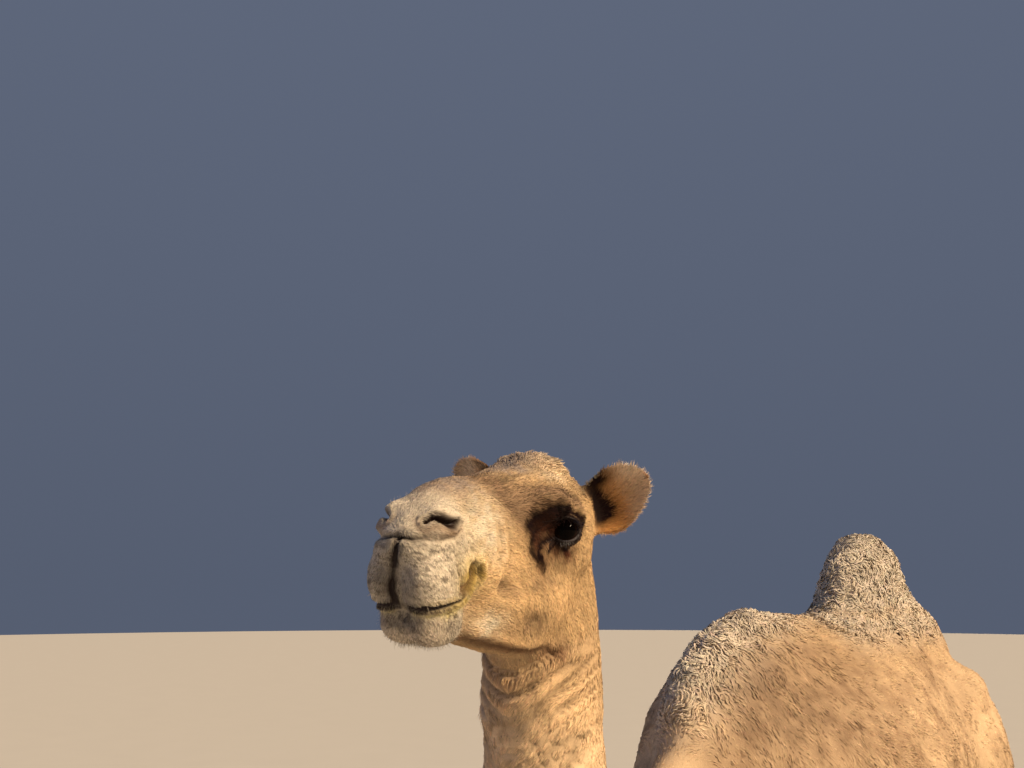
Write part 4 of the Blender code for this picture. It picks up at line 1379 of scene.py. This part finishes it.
def hide_material():
    """Hide under short hair: dull, with fine pits between the hairs that carry painted shade, and smoother
    where it is bare.
    """
    made, tree = new_material("haired_hide")
    pits = grain(tree, 2.2, 4.0)
    folds = grain(tree, 11, 3.0)
    both = node(tree, "ShaderNodeMath", {0: pits, 1: folds}, operation="ADD").outputs["Value"]
    bare = node(tree, "ShaderNodeAttribute", attribute_name=ZONE_FIELD + "bare").outputs["Fac"]
    finish_surface(tree, shaded_tone(tree, pits, 0.7, 1.15), between(tree, bare, 0.8, 0.5), both,
                   bump_mm=0.8, strength=0.6, Specular_IOR_Level=0.22)
    return made


def lash_material():
    """Dark coarse hair of the lashes and whiskers, with a dull gloss along it."""
    made, tree = new_material("coarse_hair")
    strands = grain(tree, 1.5, 2.0)
    finish_surface(tree, shaded_tone(tree, strands, 0.8, 1.2), between(tree, strands, 0.35, 0.55), strands,
                   bump_mm=0.2, strength=0.3, Specular_IOR_Level=0.4)
    return made


def eye_material():
    """A wet clear cornea over a dark brown iris: very smooth, with soft streaks in the iris under it."""
    made, tree = new_material("wet_cornea")
    film = grain(tree, 9, 1.0)
    colour = shaded_tone(tree, grain(tree, 1.2, 3.0), 0.7, 1.3)
    finish_surface(tree, colour, between(tree, film, 0.03, 0.08), film, bump_mm=0.05, strength=0.1,
                   IOR=1.38, Specular_IOR_Level=0.06)
    return made


def horn_material(colour):
    """Horn of the toenails: worn dull, with growth lines across it."""
    made, tree = new_material("worn_horn")
    settings = {"Vector": piece_space(tree), "Scale": per_metre(60), "Distortion": 3.0, "Detail": 2.0,
                "Detail Scale": 2.0}
    lines = node(tree, "ShaderNodeTexWave", settings, bands_direction="Y").outputs["Fac"]
    wear = grain(tree, 6, 3.0)
    shade = mixed(tree, wear, colour, lightened(colour, 2.4, 0.05))
    finish_surface(tree, shade, between(tree, wear, 0.4, 0.7), lines, bump_mm=0.4, strength=0.4)
    return made


def floor_material(colour):
    """Painted board: pale and matt, with a faint mottle."""
    made, tree = new_material("painted_floor")
    mottle = grain(tree, 400, 3.0)
    shade = mixed(tree, mottle, colour, lightened(colour, 1.05))
    finish_surface(tree, shade, between(tree, mottle, 0.85, 0.95), mottle, bump_mm=1.0, strength=0.1)
    return made


def painted(name, maker, *colours):
    """The material of that name, made the first time that it is asked for."""
    return bpy.data.materials.get(name) or maker(*colours)


def dress(piece, material):
    """Gives a piece its material, smooth faces and its place on the animal's body."""
    piece.data.materials.clear()
    piece.data.materials.append(material)
    piece.data.polygons.foreach_set("use_smooth", np.ones(len(piece.data.polygons), bool))
    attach(piece, "root")


# --------------------------------------------------------------------------------------------------
# Operators, one for each piece or group of like pieces


class DROMEDARY_OT_skin(bpy.types.Operator):
    """Fuse the flesh into one skin, lay it under the coat, and give it lids, lips, nostrils and folds"""

    bl_idname = "dromedary.skin"
    bl_label = "Skin"

    def execute(self, context):
        coat = context.scene.dromedary_coat
        made, skin = make_skin()
        shares = node_shares(skin.places, skin.links)
        zones = zones_of(skin.places, skin.face, shares)
        zones["bare"] = bare_places(skin.face, skin.places, zones)
        write_field(skin.mesh, "Lie", "FLOAT_VECTOR", lies_of(skin, zones, shares))
        write_field(skin.mesh, "Face", "FLOAT_VECTOR", skin.face)
        for name, values in zones.items():
            write_field(skin.mesh, ZONE_FIELD + name, "FLOAT", values)
        write_field(skin.mesh, "owner", "FLOAT", np.argmax([shares[name] for name in FLESH], axis=0))
        write_tones(skin.mesh, hide_tones(skin, zones, coat))
        only(made)
        bpy.ops.object.mode_set(mode="EDIT")
        bpy.ops.mesh.select_all(action="SELECT")
        bpy.ops.uv.smart_project(angle_limit=math.radians(66), island_margin=0.002)
        bpy.ops.object.mode_set(mode="OBJECT")
        skin.mesh.uv_layers[0].name = "OFBake"
        dress(made, hide_material())
        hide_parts(*FLESH)
        return {"FINISHED"}


def bare_places(head, places, zones):
    """Where the skin has no hair: inside the nostrils and lips, the edges of the lids, and the soles."""
    near = mirrored(head)
    mouth, _ = from_path(near, MOUTH)
    groove, _ = from_path(head, PHILTRUM)
    edge = lid_edges(head)
    bare = np.maximum(ramp(-nostril_gap(near), -1.5, -1.1), ramp(-mouth, -0.42, -0.22))
    bare = np.maximum(bare, ramp(-groove, -0.4, -0.15)) * zones["head"]
    bare = np.maximum(bare, ramp(-edge, -0.35, -0.25) * (zones["lids"] > 0.2))
    return np.maximum(bare, ramp(-places[:, 2], -0.012, -0.004))


def hide_tones(skin, zones, coat):
    """The skin's colours: the coat's own, with a painted reflection along the wet edges of the lower lids."""
    tones = tones_of(skin.places, skin.face, skin.normals, zones, coat)
    for sign in SIDES.values():
        eye = lid_measures(skin.head, sign)
        # Painted reflection along the wet edge of each lower lid.
        wet = ramp(-abs(eye["edge"] - 0.06), -0.10, -0.02) * ramp(-eye["above"], 0.5, 1.0)
        wet *= 0.45 * (eye["reach"] < 4)
        tones += wet[:, None] * (np.array(linear(PAINTED_WET_GLINT)) - tones)
    return tones


class DROMEDARY_OT_coat(bpy.types.Operator):
    """Grow the tufts of the coat over the skin, piece by piece"""

    bl_idname = "dromedary.coat"
    bl_label = "Coat"

    def execute(self, context):
        coat = context.scene.dromedary_coat
        ground = Ground(bpy.data.objects["skin"], coat)
        chance = np.random.default_rng(SEED)
        for name, piece in COAT_PIECES.items():
            made = grow_piece(name, piece, ground, coat, chance)
            dress(made, painted("camel_hair", hair_material))
        return {"FINISHED"}


class DROMEDARY_OT_lashes(bpy.types.Operator):
    """Add the eyelashes, the whiskers of the lips and chin, and the fringe of the ears"""

    bl_idname = "dromedary.lashes"
    bl_label = "Lashes, whiskers and ear fringe"

    def execute(self, context):
        coat = context.scene.dromedary_coat
        ground = Ground(bpy.data.objects["skin"], coat)
        chance = np.random.default_rng(SEED + 1)
        coarse = painted("coarse_hair", lash_material)
        dress(lashes(ground, coat, chance), coarse)
        dress(whiskers(ground, coat, chance), coarse)
        dress(ear_fringe(ground, coat, chance), painted("camel_hair", hair_material))
        return {"FINISHED"}


def sized(roots, length, width, height, curl):
    """The same roots with tufts of those sizes, in centimetres."""
    sizes = (length, width, height, curl)
    roots.hair = Hair(*[np.broadcast_to(size, len(roots.places)) for size in sizes])
    return roots


def planted(ground, places, ways, facing):
    """Roots at those places on the head, for hairs that stand out those ways. Their backs turn to facing."""
    ways = turned_from_head(np.concatenate(ways))
    roots = ground.nearest(from_head(np.concatenate(places)))
    roots.normals = squared(turned_from_head(facing), ways)
    roots.lies = ways
    return roots


# The rows of lashes: the side of the opening, how many there are, how much they droop, and their length.
LASH_ROWS = [(1, 150, -0.75, 1.0), (-1, 45, -0.35, 0.45)]
WHISKERS = 1100
WHISKER_COVER = 100  # enough that their number is what limits them
FRINGE_HAIRS = 2200  # on each ear
FRINGE_INSET = 0.35


def lashes(ground, coat, chance):
    """Rows of long dark lashes along the upper lids, and a sparse row along the lower ones."""
    places, ways, shares = [], [], []
    for sign in SIDES.values():
        eye = lid_measures(np.zeros((1, 3)), sign)
        for above, number, droop, share in LASH_ROWS:
            along = np.linspace(-0.88, 0.92, number) * LID_HALF_LENGTH
            opening = (1 - abs(along / LID_HALF_LENGTH) ** LID_POINTED) ** (1 / LID_POINTED)
            height = above * LID_HALF_HEIGHT * opening + above * chance.uniform(0.08, 0.34, number)
            ray = lid_rays(eye, along, height)
            places.append(eye["centre"] + ray * (EYE_RADIUS + 0.22))
            fan = ray + 0.25 * eye["inner"] * (along / LID_HALF_LENGTH)[:, None]
            ways.append(unit(fan + (0, 0, droop) + chance.normal(0, 0.12, (number, 3))))
            shares.append(np.full(number, share))
    shares = np.concatenate(shares)
    roots = planted(ground, places, ways, (0, 0, 1))
    length = coat.lash_length / CM * shares
    roots = sized(roots, length, width=0.055, height=-0.35 * shares, curl=0.0)
    tones = np.tile(np.array(coat.dark) * 0.8, (len(shares), 1))
    return tuft_mesh("lashes", roots, tones, 4, chance, ridge=0.3)


def whiskers(ground, coat, chance):
    """Long stiff hairs that stand out from the lips and the chin."""
    chosen = ground.zones["muzzle"][ground.corners].mean(axis=1) > 0.5
    chosen = chosen * np.where(to_head(ground.middle)[:, 2] < -10.5, 1.0, 0.06)
    roots = ground.scattered(chosen, WHISKER_COVER, WHISKERS, chance)
    below = ramp(-to_head(roots.places)[:, 2], 8, 11)
    roots.lies = unit(roots.normals + 0.55 * roots.lies + below[:, None] * np.array((0, 0, -0.35))
                      + chance.normal(0, 0.16, roots.places.shape))
    roots.normals = squared((0, 0, 1), roots.lies)
    length = 0.55 + 0.5 * chance.uniform(0, 1, len(below)) ** 4
    roots = sized(roots, length, width=0.035, height=-0.10 * below, curl=0.06)
    pale = chance.uniform(0, 1, (len(below), 1)) < 0.85
    tones = np.where(pale, 0.85 * np.array(coat.muzzle), np.array(coat.mark))
    return tuft_mesh("whiskers", roots, tones, 3, chance, ridge=0.3)


def ear_fringe(ground, coat, chance):
    """Soft pale hair that stands out all round the rims of the ears."""
    places, ways, out = [], [], []
    for sign in SIDES.values():
        ear = ear_measures(np.zeros((1, 3)), sign)
        turn = chance.uniform(-2.5, 2.5, FRINGE_HAIRS)
        narrowed = 1 - EAR_NARROWS * ramp(EAR_HALF_LENGTH * np.cos(turn), -3, 4)
        half = (EAR_HALF_WIDTH - FRINGE_INSET) * np.where(turn < 0, narrowed, 1)
        shortened = np.where(np.cos(turn) > 0, 1 - EAR_SHORTENS, 1)
        reach = np.cos(turn) * (EAR_HALF_LENGTH - FRINGE_INSET) * shortened
        rim = reach[:, None] * ear["along"] + (np.sin(turn) * half)[:, None] * ear["edge"]
        shift = ear["opens"] * (EAR_RIM_SHIFT + chance.normal(0, 0.12, FRINGE_HAIRS))[:, None]
        places.append(ear["middle"] + rim + shift)
        ways.append(unit(unit(rim) + 1.1 * ear["along"] + 0.2 * ear["opens"]
                         + chance.normal(0, 0.35, (FRINGE_HAIRS, 3))))
        out.append(np.tile(ear["opens"], (FRINGE_HAIRS, 1)))
    roots = planted(ground, places, ways, np.concatenate(out))
    length = 0.7 * chance.uniform(0.4, 1.3, len(roots.places))
    roots = sized(roots, length, width=0.04, height=0.06, curl=0.10)
    tones = tones_of(roots.places, roots.face, roots.normals, roots.zones, coat)
    tones = 0.5 * tones + 0.5 * np.array(coat.cream)
    return tuft_mesh("ear_fringe", roots, tones, 3, chance, root_shade=0.8)


class DROMEDARY_OT_eyes(bpy.types.Operator):
    """Shape the wet eyes, with a bulging cornea over an oval pupil"""

    bl_idname = "dromedary.eyes"
    bl_label = "Eyes"

    def execute(self, context):
        eyes = context.scene.dromedary_eyes
        for side, sign in SIDES.items():
            made = shaped_eye(side, sign, eyes)
            dress(made, painted("wet_cornea", eye_material))
            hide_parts("eye_" + side)
        return {"FINISHED"}


IRIS_RADIUS = 1.45
PUPIL_HALF = (0.95, 0.48)
CORNEA_BULGE = 0.12


def shaped_eye(side, sign, eyes):
    """A ball with its pole at the middle of the opening, and the cornea drawn out a little there."""
    low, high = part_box("eye_" + side)
    bpy.ops.object.select_all(action="DESELECT")
    bpy.ops.mesh.primitive_uv_sphere_add(segments=64, ring_count=48, radius=EYE_RADIUS * CM)
    made = bpy.context.active_object
    made.name = "glass_" + side
    bpy.ops.object.mode_set(mode="EDIT")
    bpy.ops.mesh.select_all(action="DESELECT")
    form = bmesh.from_edit_mesh(made.data)
    form.select_mode = {"VERT"}
    pole = max(form.verts, key=lambda vertex: vertex.co.z)
    pole.select = True
    bmesh.update_edit_mesh(made.data)
    bpy.ops.transform.translate(value=(0, 0, CORNEA_BULGE * CM), use_proportional_edit=True,
                                proportional_edit_falloff="SMOOTH", proportional_size=IRIS_RADIUS * CM)
    bpy.ops.object.mode_set(mode="OBJECT")
    x, y, z = (places_of(made.data) / CM).T
    iris = ramp(-np.hypot(x, y), -IRIS_RADIUS, -IRIS_RADIUS + 0.25) * (z > 0)
    pupil = ramp(-np.hypot(x / PUPIL_HALF[0], y / PUPIL_HALF[1]), -1.1, -0.95) * (z > 0)
    rays = 0.75 + 0.35 * noise(vectors(np.arctan2(y, x) * 6, 0, 0), 1, 5)
    white = np.array(linear(EYE_WHITE))
    tones = white + iris[:, None] * (np.array(eyes.iris) * rays[:, None] - white)
    tones += pupil[:, None] * (np.array(eyes.pupil) - tones)
    write_tones(made.data, tones)
    turn = Vector(turned_from_head(eye_axis(sign))).to_track_quat("Z", "Y").to_matrix().to_4x4()
    made.data.transform(Matrix.Translation((low + high) / 2) @ turn)
    made.data.update()
    return made


class DROMEDARY_OT_nails(bpy.types.Operator):
    """Round the toenails from copies of their solids"""

    bl_idname = "dromedary.nails"
    bl_label = "Toenails"

    def execute(self, context):
        colour = tuple(context.scene.dromedary_eyes.nail)
        for node_name in NAILS:
            made = copy_of("horn_" + node_name, node_name)
            rounding = made.modifiers.new("Round", "SUBSURF")
            rounding.levels = rounding.render_levels = 2
            apply_all(made)
            dress(made, painted("worn_horn", horn_material, colour))
            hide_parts(node_name)
        return {"FINISHED"}


# The camera stands ahead of the animal and to its left, and looks up at its face.
CAMERA_PLACE = (1.21347, -2.14725, 1.7878)
CAMERA_TURN = math.radians(41.13)
CAMERA_LOOKS_UP = math.radians(10.18)
KEY_WAY = (0.86, 0.24, 0.60)
KEY_ANGLE = 0.18  # how wide the key light looks, in radians: soft edges to the shadows
COOL_WAY = (-0.75, -0.6, 0.3)
COOL_POWER = 18.0
COOL_SIZE = 3.0
LIGHT_DISTANCE = 5.0
SKY_LOW = 0.8  # the light from the level of the floor is this share of that from overhead
SKY_FULL = 0.6  # and it has risen to all of it this far up, where 1 is straight overhead
FLOOR_RADIUS = 40


class DROMEDARY_OT_stage(bpy.types.Operator):
    """Lay the pale floor, set the soft lights and place the camera"""

    bl_idname = "dromedary.stage"
    bl_label = "Studio"

    def execute(self, context):
        stage = context.scene.dromedary_stage
        bpy.ops.object.select_all(action="DESELECT")
        bpy.ops.mesh.primitive_circle_add(vertices=96, radius=FLOOR_RADIUS, fill_type="NGON")
        floor = context.active_object
        floor.name = "floor"
        floor.data.materials.append(floor_material(tuple(stage.floor)))
        world = bpy.data.worlds.new("studio")
        world.use_nodes = True
        tree = world.node_tree
        sky = tree.nodes["Background"]
        sky.inputs["Color"].default_value = (*stage.sky, 1)
        way = node(tree, "ShaderNodeTexCoord").outputs["Generated"]
        height = node(tree, "ShaderNodeSeparateXYZ", {"Vector": way}).outputs["Z"]
        rise = between(tree, height, SKY_LOW * stage.sky_power, stage.sky_power)
        rise.node.inputs["From Max"].default_value = SKY_FULL
        tree.links.new(rise, sky.inputs["Strength"])
        context.scene.world = world
        context.scene.view_settings.view_transform = "Standard"  # colours as they are, with no film curve
        key = hung_light("key", "SUN", KEY_WAY, stage.key_power, stage.key)
        key.angle = KEY_ANGLE
        cool = hung_light("cool", "AREA", COOL_WAY, COOL_POWER, stage.cool)
        cool.size = COOL_SIZE
        lens = bpy.data.cameras.new("camera")
        lens.lens = stage.lens
        lens.sensor_width = 36
        camera = linked("camera", lens)
        camera.location = CAMERA_PLACE
        camera.rotation_euler = (math.pi / 2 + CAMERA_LOOKS_UP, 0, CAMERA_TURN)
        context.scene.camera = camera
        return {"FINISHED"}


def hung_light(name, kind, way, power, colour):
    """A light hung that way from the head and turned to face it."""
    light = bpy.data.lights.new(name, kind)
    light.energy = power
    light.color = colour
    lamp = linked(name, light)
    way = Vector(way).normalized()
    lamp.location = Vector(HEAD_ORIGIN) + way * LIGHT_DISTANCE
    lamp.rotation_euler = way.to_track_quat("Z", "Y").to_euler()
    return light


OPERATORS = [DROMEDARY_OT_skin, DROMEDARY_OT_coat, DROMEDARY_OT_lashes, DROMEDARY_OT_eyes, DROMEDARY_OT_nails,
             DROMEDARY_OT_stage]


class DROMEDARY_PT_panel(bpy.types.Panel):
    """Everything that dresses the dromedary, in order"""

    bl_idname = "DROMEDARY_PT_panel"
    bl_label = "Dromedary"
    bl_space_type = "VIEW_3D"
    bl_region_type = "UI"
    bl_category = "Dromedary"

    def draw(self, context):
        for operator in OPERATORS:
            self.layout.operator(operator.bl_idname)
        for group in SETTINGS:
            settings = getattr(context.scene, group)
            box = self.layout.box()
            for name in settings.bl_rna.properties.keys():
                if name not in ("rna_type", "name"):
                    box.prop(settings, name)


SETTINGS = {"dromedary_coat": CoatSettings, "dromedary_eyes": EyeSettings, "dromedary_stage": StageSettings}


def register():
    for settings in SETTINGS.values():
        bpy.utils.register_class(settings)
    for name, settings in SETTINGS.items():
        setattr(bpy.types.Scene, name, PointerProperty(type=settings))
    for operator in OPERATORS:
        bpy.utils.register_class(operator)
    bpy.utils.register_class(DROMEDARY_PT_panel)


def unregister():
    bpy.utils.unregister_class(DROMEDARY_PT_panel)
    for operator in reversed(OPERATORS):
        bpy.utils.unregister_class(operator)
    for name, settings in SETTINGS.items():
        delattr(bpy.types.Scene, name)
        bpy.utils.unregister_class(settings)


def main():
    register()
    bpy.ops.dromedary.skin()
    bpy.ops.dromedary.coat()
    bpy.ops.dromedary.lashes()
    bpy.ops.dromedary.eyes()
    bpy.ops.dromedary.nails()
    bpy.ops.dromedary.stage()


if __name__ == "__main__":
    main()
